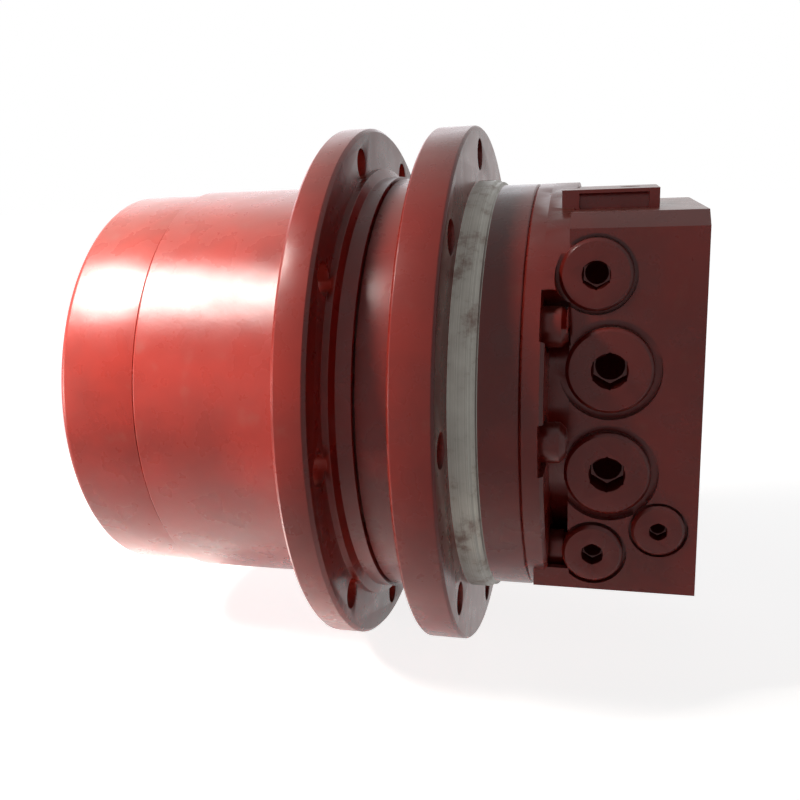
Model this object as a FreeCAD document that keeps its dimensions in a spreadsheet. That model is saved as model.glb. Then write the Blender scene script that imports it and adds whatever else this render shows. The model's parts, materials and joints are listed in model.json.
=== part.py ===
"""Excavator final drive: two-stage planetary hub, axial-piston motor, parking brake, valve block.

Frame: millimetres, X is the turning axis, +X points from the hub to the valve block, +Z is up.
The origin lies on the axis, in the face that seats on the track frame.
Every driving dimension is a cell of the sheet Sizes; angles are in degrees, 0 at the top of a circle.
"""
import FreeCAD, Part
import math
import os
import Sketcher
from FreeCAD import Placement, Rotation, Vector

doc = FreeCAD.newDocument("final_drive")

DIMENSIONS = {
    # end cover, a cup over the nose of the hub
    "cover_end": -168.8, "cover_seam": -133.1, "cover_radius": 92.5, "cover_edge": 3.0,
    "cover_inside": -157.8, "nose_radius": 87.5, "nose_end": -148.0, "plug_circle": 58.0,
    "plug_radius": 9.5, "wire_radius": 1.5, "wire_x": -143.5,
    "cover_seal_x": -137.5, "cover_seal_radius": 1.45,
    # rotating hub
    "drum_radius": 94.0, "hub_flange_back": -61.6, "hub_flange_face": -47.7,
    "hub_flange_radius": 120.0, "hub_flange_bevel": 1.5, "boss_radius": 102.0, "boss_lip": -44.8,
    "boss_end_radius": 98.0, "hub_end": -36.8, "hub_hole": 6.5, "hub_hole_circle": 108.0,
    "hub_holes": 9, "hub_hole_start": 15.0, "frame_hole": 7.0, "frame_hole_circle": 106.5,
    "frame_holes": 8,
    # gear train: one module and one ring gear serve both stages
    "gear_module": 3.0, "pressure_angle": 25.0, "tooth_top": 0.8, "tooth_root": 1.05,
    "tooth_play": 0.12, "ring_teeth": 52, "first_sun_teeth": 8, "first_planet_teeth": 22,
    "second_sun_teeth": 12, "second_planet_teeth": 20, "first_planets": 3, "second_planets": 4,
    "ring_teeth_end": -94.0, "first_stage_start": -144.0, "first_stage_width": 16.0,
    "first_carrier_start": -127.0, "first_carrier_end": -119.0, "first_carrier_radius": 58.0,
    "first_pin": 8.0, "second_stage_start": -116.0, "second_stage_width": 20.0,
    "second_pin": 10.0, "pin_play": 0.05, "sun_stem": 8.0, "sun_passage": 9.5,
    # main bearings: two tapered roller bearings back to back, 110 x 150 x 20
    "race_inner": 55.0, "race_outer": 75.0, "bearing_width": 20.0, "outer_bearing_x": -75.0,
    "inner_bearing_x": -50.0, "roller_circle": 65.3, "roller_half": 3.5, "race_slope": 0.23,
    "roller_length": 14.0, "roller_play": 0.04, "roller_count": 18, "rib_radius": 70.0,
    # face seal between the hub and the fixed housing
    "seal_plane": -36.3, "seal_inner": 80.5, "seal_pocket": 93.0, "seal_depth": 9.0,
    "seal_ring_inner": 82.0, "seal_ring_outer": 86.3, "seal_lip": 3.0, "seal_lip_radius": 91.0,
    # fixed housing: spindle, neck, frame flange, pilot and motor body
    "spindle_end": -85.0, "spindle_shoulder": -40.0, "shoulder_radius": 60.0,
    "neck_start": -35.8, "neck_radius": 97.0, "frame_flange_back": -17.5,
    "frame_flange_radius": 119.0, "pilot_radius": 95.0, "pilot_length": 8.0,
    "body_start": 11.2, "body_radius": 92.5, "split_x": 27.2, "split_bevel": 0.7,
    "second_carrier_start": -95.0, "second_carrier_radius": 61.0, "carrier_bolt_circle": 37.5,
    "motor_bore": 44.0, "motor_floor": -59.0, "disc_bore": 56.0, "disc_floor": -22.0,
    "piston_bore_small": 60.05, "piston_step_small": -2.0, "piston_bore_large": 70.05,
    "piston_step_large": 10.5,
    # shaft and its bearings
    "shaft_start": -84.0, "shaft_front": 12.5, "shaft_middle": 14.0, "shaft_rear": 10.0,
    "shaft_end": 41.0, "socket_end": -62.0, "front_bearing_start": -74.0,
    "front_bearing_width": 15.0, "front_bearing_outer": 26.0, "rear_bearing_start": 29.0,
    "rear_bearing_width": 12.0, "rear_bearing_outer": 21.0, "shaft_seal_width": 7.0,
    "shaft_seal_start": -81.5, "shaft_seal_outer": 23.5,
    # piston pump group
    "swash_start": -57.0, "swash_end": -42.0, "swash_radius": 40.0, "swash_hole": 17.0,
    "pivot_ball": 5.5, "pivot_circle": 33.0, "piston_count": 9, "piston_circle": 26.0,
    "piston_radius": 6.75, "piston_ball": 4.25, "ball_x": -35.5, "piston_start": -29.0,
    "piston_end": 8.0, "slipper_radius": 8.0, "slipper_neck": 5.2, "slipper_start": -41.95,
    "slipper_shoulder": -39.2, "slipper_end": -32.5, "block_start": -27.0, "block_end": 21.3,
    "block_radius": 37.0, "block_bore": 13.1, "retainer_start": -39.1, "retainer_end": -36.1,
    "valve_plate_start": 21.4, "valve_plate_radius": 36.0, "kidney_radius": 4.0,
    # parking brake
    "disc_count": 3, "disc_thick": 2.5, "separator_thick": 2.0, "disc_gap": 0.1,
    "disc_outer": 50.0, "separator_inner": 41.0, "brake_piston_end": 19.0,
    "brake_piston_inner": 39.0,
    # valve block
    "block_flange_end": 36.0, "block_neck": 66.0, "block_left": 44.0, "block_right": 94.7,
    "block_half": 67.4, "block_bottom": -70.5, "block_top": 82.5, "top_bevel_high": 5.5,
    "top_bevel_deep": 8.4, "pad_left": 45.3, "pad_right": 77.4, "pad_front": -40.0,
    "pad_back": 12.0, "pad_top": 90.4, "screw_circle": 80.0, "screw_head": 8.0,
    "screw_seat": 34.0, "screw_shank": 5.0, "screw_tip": 9.0, "screw_pocket": 10.5,
    "socket_depth": 5.0, "spool_radius": 11.0, "port_radius": 9.3, "port_depth": 16.0,
    "port_offset": 26.0, "drain_radius": 5.9, "drain_height": 60.0, "drain_depth": 13.0,
    "pilot_port": 4.4, "pilot_port_x": 66.0, "pilot_port_y": -14.0,
}

sheet = doc.addObject("Spreadsheet::Sheet", "Sizes")
for row, (name, value) in enumerate(DIMENSIONS.items(), start=1):
    sheet.set("A%d" % row, name)
    sheet.set("B%d" % row, str(value))
    sheet.setAlias("B%d" % row, name)
doc.recompute()


class Size:
    """A number together with the sheet expression that gives it."""

    def __init__(self, value, text):
        self.value = float(value)
        self.text = text

    def _with(self, other, sign, result):
        other = as_size(other)
        return Size(result(self.value, other.value), "(%s %s %s)" % (self.text, sign, other.text))

    def __add__(self, other):
        return self._with(other, "+", lambda a, b: a + b)

    def __sub__(self, other):
        return self._with(other, "-", lambda a, b: a - b)

    def __mul__(self, other):
        return self._with(other, "*", lambda a, b: a * b)

    def __truediv__(self, other):
        return self._with(other, "/", lambda a, b: a / b)

    def __radd__(self, other):
        return as_size(other) + self

    def __rsub__(self, other):
        return as_size(other) - self

    def __rmul__(self, other):
        return as_size(other) * self

    def __neg__(self):
        return Size(-self.value, "(-1 * %s)" % self.text)


def as_size(number):
    if isinstance(number, Size):
        return number
    return Size(number, "(%s)" % repr(float(number)))


class Sheet:
    """Each cell of the sheet as a Size, by its alias."""

    def __getattr__(self, name):
        return Size(getattr(sheet, name), "Sizes." + name)


d = Sheet()
nodes = []


def node(thing, label):
    """Names the object and lists it among the pieces that are written out."""
    thing.Label = label
    nodes.append(thing)
    return thing


def bind(thing, what, number):
    thing.setExpression(what, as_size(number).text)


# ---------------------------------------------------------------- shapes bound to the sheet

def origin_part(body, role):
    return next(item for item in body.Origin.OriginFeatures if item.Role == role)


def outline(sketch, points):
    """A closed outline whose every corner is dimensioned from the sketch's origin."""
    corners = [(as_size(x), as_size(y)) for x, y in points]
    places = [Vector(x.value, y.value, 0) for x, y in corners]
    for start, end in zip(places, places[1:] + places[:1]):
        sketch.addGeometry(Part.LineSegment(start, end))
    for index, (x, y) in enumerate(corners):
        after = (index + 1) % len(corners)
        sketch.addConstraint(Sketcher.Constraint("Coincident", index, 2, after, 1))
        for kind, number in (("DistanceX", x), ("DistanceY", y)):
            where = sketch.addConstraint(Sketcher.Constraint(kind, index, 1, number.value))
            bind(sketch, "Constraints[%d]" % where, number)


def turned(label, points):
    """A piece turned about X from its half section, given as (x, radius) corners."""
    body = doc.addObject("PartDesign::Body", label)
    sketch = body.newObject("Sketcher::SketchObject", label + "_section")
    sketch.AttachmentSupport = (origin_part(body, "XZ_Plane"), "")
    sketch.MapMode = "FlatFace"
    outline(sketch, points)
    turn = body.newObject("PartDesign::Revolution", label + "_turn")
    turn.Profile = sketch
    turn.ReferenceAxis = (sketch, ["H_Axis"])
    turn.Angle = 360
    sketch.Visibility = False
    return body


def tube(label, start, end, inner, outer):
    return turned(label, [(start, inner), (start, outer), (end, outer), (end, inner)])


def drilled(body, label, start, end, radius, circle, count, first=0.0):
    """A ring of holes along X, cut between two stations."""
    sketch = body.newObject("Sketcher::SketchObject", label + "_place")
    sketch.AttachmentSupport = (origin_part(body, "YZ_Plane"), "")
    sketch.MapMode = "FlatFace"
    middle = (start + end) * 0.5
    turn = Rotation(Vector(0, 0, 1), as_size(first).value)
    sketch.AttachmentOffset = Placement(Vector(0, 0, middle.value), turn)
    bind(sketch, "AttachmentOffset.Base.z", middle)
    circle, radius = as_size(circle), as_size(radius)
    sketch.addGeometry(Part.Circle(Vector(0, circle.value, 0), Vector(0, 0, 1), radius.value))
    sketch.addConstraint(Sketcher.Constraint("PointOnObject", 0, 3, -2))
    where = sketch.addConstraint(Sketcher.Constraint("DistanceY", 0, 3, circle.value))
    bind(sketch, "Constraints[%d]" % where, circle)
    where = sketch.addConstraint(Sketcher.Constraint("Radius", 0, radius.value))
    bind(sketch, "Constraints[%d]" % where, radius)
    hole = body.newObject("PartDesign::Pocket", label)
    hole.Profile = sketch
    hole.Midplane = True
    bind(hole, "Length", end - start)
    ring = body.newObject("PartDesign::PolarPattern", label + "_ring")
    ring.Originals = [hole]
    ring.Axis = (origin_part(body, "X_Axis"), [""])
    ring.Angle = 360
    ring.Occurrences = int(as_size(count).value)
    bind(ring, "Occurrences", count)
    body.Tip = ring
    sketch.Visibility = False


ALONG = {
    "x": Rotation(Vector(0, 1, 0), 90),
    "y": Rotation(Vector(1, 0, 0), -90),
    "z": Rotation(),
}


def place(thing, spot, along="z"):
    """Puts a primitive's base point at the spot, with its own axis along X, Y or Z."""
    spot = [as_size(number) for number in spot]
    thing.Placement = Placement(Vector(*[number.value for number in spot]), ALONG[along])
    for letter, number in zip("xyz", spot):
        bind(thing, "Placement.Base." + letter, number)
    return thing


def cylinder(label, along, spot, radius, length):
    thing = doc.addObject("Part::Cylinder", label)
    bind(thing, "Radius", radius)
    bind(thing, "Height", length)
    return place(thing, spot, along)


def cone(label, along, spot, start_radius, end_radius, length):
    thing = doc.addObject("Part::Cone", label)
    bind(thing, "Radius1", start_radius)
    bind(thing, "Radius2", end_radius)
    bind(thing, "Height", length)
    return place(thing, spot, along)


def sphere(label, spot, radius):
    thing = doc.addObject("Part::Sphere", label)
    bind(thing, "Radius", radius)
    return place(thing, spot, "x")


def square_ring(label, station, circle, half):
    """A ring about X with a square section, by the section's middle and half its side."""
    return tube(label, station - half, station + half, circle - half, circle + half)


def round_ring(label, station, circle, radius):
    """A ring about X whose round section is drawn with eight corners."""
    far = radius * math.cos(math.pi / 8)
    near = radius * math.sin(math.pi / 8)
    return turned(label, [
        (station - far, circle - near), (station - far, circle + near),
        (station - near, circle + far), (station + near, circle + far),
        (station + far, circle + near), (station + far, circle - near),
        (station + near, circle - far), (station - near, circle - far)])


def box(label, low, high):
    thing = doc.addObject("Part::Box", label)
    for side, start, end in zip(("Length", "Width", "Height"), low, high):
        bind(thing, side, as_size(end) - start)
    return place(thing, low)


def hexagon(label, along, spot, across, length):
    """A hexagonal prism by its width across flats."""
    thing = doc.addObject("Part::Prism", label)
    thing.Polygon = 6
    bind(thing, "Circumradius", as_size(across) / math.sqrt(3))
    bind(thing, "Height", length)
    return place(thing, spot, along)


def cut(label, base, tools):
    thing = doc.addObject("Part::Cut", label)
    thing.Base = base
    thing.Tool = tools[0] if len(tools) == 1 else fuse(label + "_tools", tools)
    return thing


def fuse(label, things):
    thing = doc.addObject("Part::MultiFuse", label)
    thing.Shapes = things
    return thing


def made(label, shape):
    """A piece that only Part's own functions can form, in place."""
    thing = doc.addObject("Part::Feature", label)
    thing.Shape = shape
    return thing


def group(label, things):
    """Like pieces that share one node, as separate solids."""
    thing = doc.addObject("Part::Compound", label + "_group")
    thing.Links = things
    return node(thing, label)


def about_axis(shape, angle):
    return shape.rotated(Vector(), Vector(1, 0, 0), angle)


def around(label, thing, angles):
    """Copies of one piece about the X axis, as separate solids."""
    doc.recompute()
    solids = [about_axis(solid, angle) for angle in angles for solid in thing.Shape.Solids]
    return made(label, Part.makeCompound(solids))


def even(count, first=0.0):
    count = int(as_size(count).value)
    return [first + 360.0 * index / count for index in range(count)]


# ---------------------------------------------------------------- involute gears

def involute(angle):
    return math.tan(angle) - angle


def tooth_half_angle(teeth, radius, thickness):
    """Half the angle that a tooth spans at a radius, from its thickness at the pitch circle."""
    pitch = d.gear_module.value * teeth / 2
    pressure = math.radians(d.pressure_angle.value)
    base = pitch * math.cos(pressure)
    there = math.acos(min(1.0, base / radius))
    return thickness / (2 * pitch) + involute(pressure) - involute(there)


def toothed_prism(teeth, start, length, low, high, thickness, phase):
    """A prism along X whose outline has involute flanks; phase is the angle of a tooth's middle.

    Each flank is an arc through the involute's foot, middle and top.
    """
    pitch = d.gear_module.value * teeth / 2
    base = pitch * math.cos(math.radians(d.pressure_angle.value))
    foot = max(low, base)

    def at(radius, angle):
        return Vector(start, -radius * math.sin(angle), radius * math.cos(angle))

    edges = []
    step = 2 * math.pi / teeth
    half_foot = tooth_half_angle(teeth, foot, thickness)
    half_mid = tooth_half_angle(teeth, (foot + high) / 2, thickness)
    half_top = tooth_half_angle(teeth, high, thickness)
    for index in range(teeth):
        middle = phase + index * step
        left = [at(foot, middle - half_foot), at((foot + high) / 2, middle - half_mid),
                at(high, middle - half_top)]
        right = [at(high, middle + half_top), at((foot + high) / 2, middle + half_mid),
                 at(foot, middle + half_foot)]
        edges.append(Part.Arc(*left).toShape())
        edges.append(Part.LineSegment(left[2], right[0]).toShape())
        edges.append(Part.Arc(*right).toShape())
        following = at(foot, middle + step - half_foot)
        if foot > low:
            valley = [at(low, middle + half_foot), at(low, middle + step - half_foot)]
            edges.append(Part.LineSegment(right[2], valley[0]).toShape())
            edges.append(Part.LineSegment(valley[0], valley[1]).toShape())
            edges.append(Part.LineSegment(valley[1], following).toShape())
        else:
            edges.append(Part.LineSegment(right[2], following).toShape())
    face = Part.Face(Part.Wire(edges))
    return face.extrude(Vector(length, 0, 0))


def thickness():
    return math.pi * d.gear_module.value / 2 - d.tooth_play.value


def outer_gear(teeth, start, length, phase):
    module = d.gear_module.value
    pitch = module * teeth / 2
    low = pitch - d.tooth_root.value * module
    high = pitch + d.tooth_top.value * module
    return toothed_prism(teeth, start, length, low, high, thickness(), phase)


def ring_space(start, length):
    """What the ring gear's teeth leave free: an outer gear as thick as the ring's gaps."""
    module = d.gear_module.value
    teeth = int(d.ring_teeth.value)
    pitch = module * teeth / 2
    gap = math.pi * module - thickness()
    low = pitch - d.tooth_top.value * module
    high = pitch + d.tooth_root.value * module
    return toothed_prism(teeth, start, length, low, high, gap, math.pi / teeth)


def planet_phase(teeth, angle):
    """The turn at which a planet at this angle has a gap where the ring has a tooth."""
    ring = d.ring_teeth.value
    return angle - (2 * math.pi / teeth) * (angle * ring / (2 * math.pi) - 0.5)


def sun_phase(teeth, planet_teeth, angle):
    """The turn at which the sun's teeth meet the gaps of the planet at this angle."""
    planet = planet_phase(planet_teeth, angle)
    towards = (angle + math.pi - planet) * planet_teeth / (2 * math.pi)
    return angle - (0.5 - towards) * 2 * math.pi / teeth


def planet(label, teeth, start, width, distance, angle, bore):
    gear = outer_gear(teeth, start, width, planet_phase(teeth, angle))
    hole = Part.makeCylinder(bore, width, Vector(start, 0, 0), Vector(1, 0, 0))
    gear = gear.cut(hole)
    gear.translate(Vector(0, -distance * math.sin(angle), distance * math.cos(angle)))
    return made(label, gear)


# ---------------------------------------------------------------- the hub and its cover

def rod(label, along, spot, radius, start, end):
    """A cylinder between two distances from the spot, along X, Y or Z."""
    base = [as_size(number) for number in spot]
    axis = "xyz".index(along)
    base[axis] = base[axis] + min(start, end, key=lambda number: as_size(number).value)
    length = as_size(end) - start if as_size(end).value > as_size(start).value else start - end
    return cylinder(label, along, base, radius, length)


def plug(label, along, spot, head, head_length, thread, thread_length, across, outward):
    """A flush plug with a hexagon socket; outward is +1 or -1 along its axis.

    The spot is the middle of the seat, under the head.
    """
    blank = fuse(label + "_blank", [
        rod(label + "_head", along, spot, head, 0.0, outward * head_length),
        rod(label + "_thread", along, spot, thread, -outward * thread_length, 0.0)])
    depth = min(head_length + thread_length * 0.5, across)
    mouth = [as_size(number) for number in spot]
    axis = "xyz".index(along)
    mouth[axis] = mouth[axis] + (head_length - depth if outward > 0 else -head_length)
    return cut(label, blank, [hexagon(label + "_socket", along, mouth, across, depth)])


def hub_side():
    cover = turned("cover_casting", [
        (d.cover_end, 0), (d.cover_end, d.cover_radius - 9), (d.cover_end + 1.2, d.cover_radius - 5),
        (d.cover_end + d.cover_edge, d.cover_radius - 2), (d.cover_end + 7, d.cover_radius),
        (d.cover_seam - 0.8, d.cover_radius), (d.cover_seam, d.cover_radius - 0.8),
        (d.cover_seam, d.nose_radius + 0.05), (d.wire_x + d.wire_radius, d.nose_radius + 0.05),
        (d.wire_x + d.wire_radius, d.nose_radius + 1.6),
        (d.wire_x - d.wire_radius, d.nose_radius + 1.6),
        (d.wire_x - d.wire_radius, d.nose_radius + 0.05),
        (d.nose_end - 0.1, d.nose_radius + 0.05), (d.nose_end - 0.1, d.nose_radius - 5),
        (d.cover_inside + 3, d.nose_radius - 8), (d.cover_inside, d.nose_radius - 14),
        (d.cover_inside, 10), (d.cover_inside + 3, 9), (d.cover_inside + 3, 0)])
    drilled(cover, "plug_seat", d.cover_end, d.cover_end + 5, d.plug_radius + 1.5, d.plug_circle, 3)
    drilled(cover, "plug_hole", d.cover_end, d.cover_inside + 1, d.plug_radius - 1.5,
            d.plug_circle, 3)
    node(cover, "end_cover")
    one = plug("cover_plug", "x", (d.cover_end + 5, 0, d.plug_circle), d.plug_radius, 4.5,
               d.plug_radius - 1.6, 6.0, 8.0, -1)
    node(around("cover_plug_ring", one, even(3)), "cover_plugs")
    node(square_ring("wire", d.wire_x, d.nose_radius + 0.05, d.wire_radius - 0.05),
         "cover_retaining_wire")
    node(square_ring("cover_seal", d.cover_seal_x, d.nose_radius - d.cover_seal_radius,
                     d.cover_seal_radius), "cover_o_ring")
    node(tube("pad", d.cover_inside + 3.05, d.first_stage_start - 1.5, 3, 8), "sun_thrust_pad")

    groove = d.cover_seal_x
    rib_left = d.outer_bearing_x + d.bearing_width * 0.5
    rib_right = d.inner_bearing_x - d.bearing_width * 0.5
    drum = turned("hub_casting", [
        (d.nose_end, 72), (d.nose_end, d.nose_radius - 1), (d.nose_end + 1, d.nose_radius),
        (d.wire_x - d.wire_radius, d.nose_radius),
        (d.wire_x - d.wire_radius, d.nose_radius - 1.5),
        (d.wire_x + d.wire_radius, d.nose_radius - 1.5),
        (d.wire_x + d.wire_radius, d.nose_radius),
        (groove - 1.7, d.nose_radius), (groove - 1.7, d.nose_radius - 3),
        (groove + 1.7, d.nose_radius - 3), (groove + 1.7, d.nose_radius),
        (d.cover_seam, d.nose_radius), (d.cover_seam, d.drum_radius - 0.8),
        (d.cover_seam + 0.8, d.drum_radius), (d.hub_flange_back - 5, d.drum_radius),
        (d.hub_flange_back - 1.5, d.drum_radius + 1.5), (d.hub_flange_back, d.drum_radius + 5),
        (d.hub_flange_back, d.hub_flange_radius - d.hub_flange_bevel),
        (d.hub_flange_back + d.hub_flange_bevel, d.hub_flange_radius),
        (d.hub_flange_face - d.hub_flange_bevel, d.hub_flange_radius),
        (d.hub_flange_face, d.hub_flange_radius - d.hub_flange_bevel),
        (d.hub_flange_face, d.boss_radius), (d.boss_lip, d.boss_radius),
        (d.boss_lip + 1.5, d.boss_end_radius), (d.hub_end, d.boss_end_radius),
        (d.hub_end, d.seal_pocket), (d.seal_plane - d.seal_depth, d.seal_pocket),
        (d.seal_plane - d.seal_depth, d.seal_inner), (d.hub_end - 2, d.seal_inner),
        (d.hub_end - 2, d.race_outer), (rib_right, d.race_outer), (rib_right, d.rib_radius),
        (rib_left, d.rib_radius), (rib_left, d.race_outer), (d.ring_teeth_end, d.race_outer),
        (d.ring_teeth_end, 72)])
    drilled(drum, "sprocket_hole", d.hub_flange_back - 6, d.hub_flange_face + 1, d.hub_hole,
            d.hub_hole_circle, d.hub_holes, d.hub_hole_start)
    teeth_length = (d.ring_teeth_end - d.nose_end).value
    space = made("ring_gear_space", ring_space(d.nose_end.value - 1, teeth_length + 1))
    relief = cylinder("ring_gear_relief", "x", (d.ring_teeth_end - 4, 0, 0),
                      d.gear_module * d.ring_teeth * 0.5 + 3.6, 4)
    node(cut("hub", drum, [space, relief]), "hub_drum")


def race_radius(from_middle, offset):
    """The raceway's radius at a distance from the bearing's middle, widening outwards."""
    return d.roller_circle + d.race_slope * from_middle + offset


def main_bearing(name, middle, side):
    """An angular roller bearing; side is -1 where it opens to the hub's nose, +1 to the frame.

    The rollers lean with the raceways, which stand apart by the roller and its play.
    """
    half = d.bearing_width * 0.5
    run = d.roller_length * 0.5 + 1
    tilt = math.atan(d.race_slope.value)
    track = (d.roller_half + d.roller_play) / math.cos(tilt)
    rib = race_radius(run, 0) - 1.6

    def section(distance):
        return middle + distance * side

    cup = [(section(-half), d.race_outer), (section(half), d.race_outer),
           (section(half), race_radius(half, track)), (section(-half), race_radius(-half, track))]
    cone_section = [
        (section(-half), d.race_inner), (section(half), d.race_inner),
        (section(half), rib), (section(run), rib), (section(run), race_radius(run, -track)),
        (section(-run), race_radius(-run, -track)), (section(-half), race_radius(-run, -track))]
    length = d.roller_length.value
    direction = Vector(side * math.cos(tilt), 0, math.sin(tilt))
    centre = Vector(middle.value, 0, d.roller_circle.value)
    roller = Part.makeCylinder(d.roller_half.value, length, centre - direction * (length / 2),
                               direction)
    cage_start = -run - 0.3
    cage_end = cage_start - 1.2
    cage_edge = race_radius(cage_end, -0.6)
    cage = tube(name + "_cage", section(cage_start), section(cage_end), cage_edge, cage_edge + 2.4)
    doc.recompute()
    solids = [about_axis(roller, angle) for angle in even(d.roller_count)]
    return cup, cone_section, solids + list(cage.Shape.Solids)


def main_bearings():
    cups, cones = [], []
    for name, middle, side in (("outer", d.outer_bearing_x, -1), ("inner", d.inner_bearing_x, 1)):
        cup, cone_section, solids = main_bearing(name, middle, side)
        cups.append(turned(name + "_cup", cup))
        cones.append(turned(name + "_cone", cone_section))
        node(made(name + "_set", Part.makeCompound(solids)), name + "_bearing_rollers")
    group("hub_bearing_cups", cups)
    group("spindle_bearing_cones", cones)


def face_seal(name, side):
    """One half of the metal face seal: a lapped ring and the rubber toric behind it."""
    face = d.seal_plane + side * 0.03

    def at(distance):
        return face + side * distance

    ring = turned(name + "_ring", [
        (at(0), d.seal_ring_inner + 3), (at(0), d.seal_lip_radius), (at(d.seal_lip), d.seal_lip_radius),
        (at(d.seal_lip), d.seal_ring_outer + 1.5), (at(d.seal_depth - 1.5), d.seal_ring_outer),
        (at(d.seal_depth - 1.5), d.seal_ring_inner), (at(1.5), d.seal_ring_inner)])
    node(ring, name + "_seal_ring")
    middle = d.seal_plane + side * (d.seal_lip + d.seal_depth) * 0.5
    toric = (d.seal_depth - d.seal_lip) * 0.5 - 0.1
    node(round_ring(name + "_toric", middle, d.seal_pocket - toric - 0.05, toric),
         name + "_seal_toric")


# ---------------------------------------------------------------- planetary gear train

def gear_train():
    module = d.gear_module.value
    first = int(d.first_planet_teeth.value)
    second = int(d.second_planet_teeth.value)
    first_sun = int(d.first_sun_teeth.value)
    second_sun = int(d.second_sun_teeth.value)
    first_distance = module * (first + first_sun) / 2
    second_distance = module * (second + second_sun) / 2
    first_start = d.first_stage_start.value
    second_start = d.second_stage_start.value
    first_width = d.first_stage_width.value
    second_width = d.second_stage_width.value

    for index, angle in enumerate(even(d.first_planets), start=1):
        turn = math.radians(angle)
        label = "first_planet_gear_%d" % index
        bore = (d.first_pin + d.pin_play).value
        node(planet(label, first, first_start, first_width, first_distance, turn, bore), label)
    for index, angle in enumerate(even(d.second_planets), start=1):
        turn = math.radians(angle)
        label = "second_planet_gear_%d" % index
        bore = (d.second_pin + d.pin_play).value
        node(planet(label, second, second_start, second_width, second_distance, turn, bore), label)

    carrier = tube("first_carrier_plate", d.first_carrier_start, d.first_carrier_end,
                   d.second_sun_teeth * d.gear_module * 0.5 - 3.2, d.first_carrier_radius)
    drilled(carrier, "pin_hole", d.first_carrier_start - 1, d.first_carrier_end + 1, d.first_pin,
            first_distance, d.first_planets)
    drilled(carrier, "lightening", d.first_carrier_start - 1, d.first_carrier_end + 1, 9,
            38.0, d.first_planets, 60.0)
    node(carrier, "first_carrier")
    pin = fuse("first_pin_blank", [
        cylinder("first_pin_rod", "x", (d.first_stage_start - 0.5, 0, first_distance), d.first_pin,
                 d.first_carrier_end - d.first_stage_start + 0.5),
        cylinder("first_pin_head", "x", (d.first_stage_start - 2.5, 0, first_distance),
                 d.first_pin + 3, 2.0)])
    node(around("first_pins", pin, even(d.first_planets)), "first_planet_pins")

    sun_start = d.first_carrier_start.value
    sun_length = (d.second_stage_start + d.second_stage_width).value - sun_start
    gear = outer_gear(second_sun, sun_start, sun_length, sun_phase(second_sun, second, 0.0))
    slim = d.second_sun_teeth.value * module / 2 - 3.25
    hub = Part.makeCylinder(slim, sun_length, Vector(sun_start, 0, 0), Vector(1, 0, 0))
    seat = (d.first_carrier_end - d.first_carrier_start).value + 1
    toothless = Part.makeCylinder(60, seat, Vector(sun_start, 0, 0), Vector(1, 0, 0)).cut(hub)
    passage = Part.makeCylinder(d.sun_passage.value, sun_length, Vector(sun_start, 0, 0),
                                Vector(1, 0, 0))
    node(made("second_sun", gear.cut(toothless).cut(passage)), "second_sun_gear")

    sun = outer_gear(first_sun, first_start - 1, first_width + 2, sun_phase(first_sun, first, 0.0))
    stem_start = first_start + first_width + 1
    stem_end = d.socket_end.value - 1
    stem = Part.makeCylinder(d.sun_stem.value, stem_end - stem_start, Vector(stem_start, 0, 0),
                             Vector(1, 0, 0))
    node(made("first_sun", sun.fuse(stem).removeSplitter()), "first_sun_gear")

    plate = tube("second_carrier_plate", d.second_carrier_start, d.spindle_end, 21,
                 d.second_carrier_radius)
    drilled(plate, "pin_hole_wide", d.second_carrier_start - 1, d.spindle_end + 1, d.second_pin,
            second_distance, d.second_planets)
    drilled(plate, "bolt_hole", d.second_carrier_start - 1, d.spindle_end + 1, 4.2,
            d.carrier_bolt_circle, d.second_planets, 45.0)
    drilled(plate, "bolt_seat", d.second_carrier_start - 1, d.second_carrier_start + 7, 6.8,
            d.carrier_bolt_circle, d.second_planets, 45.0)
    node(plate, "second_carrier")
    pin = fuse("second_pin_blank", [
        cylinder("second_pin_rod", "x", (d.second_stage_start - 0.5, 0, second_distance),
                 d.second_pin, d.spindle_end - d.second_stage_start + 0.5),
        cylinder("second_pin_head", "x", (d.second_stage_start - 2.5, 0, second_distance),
                 d.second_pin + 3, 2.0)])
    node(around("second_pins", pin, even(d.second_planets)), "second_planet_pins")
    bolt = cut("carrier_bolt", fuse("carrier_bolt_blank", [
        cylinder("carrier_bolt_head", "x", (d.second_carrier_start - 1, 0, d.carrier_bolt_circle),
                 6.5, 8),
        cylinder("carrier_bolt_shank", "x", (d.second_carrier_start + 7, 0, d.carrier_bolt_circle),
                 4, 17)]),
        [hexagon("carrier_bolt_socket", "x", (d.second_carrier_start - 1, 0, d.carrier_bolt_circle),
                 6, 4)])
    node(around("carrier_bolt_ring", bolt, even(d.second_planets, 45.0)), "carrier_bolts")


# ---------------------------------------------------------------- fixed housing

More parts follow.
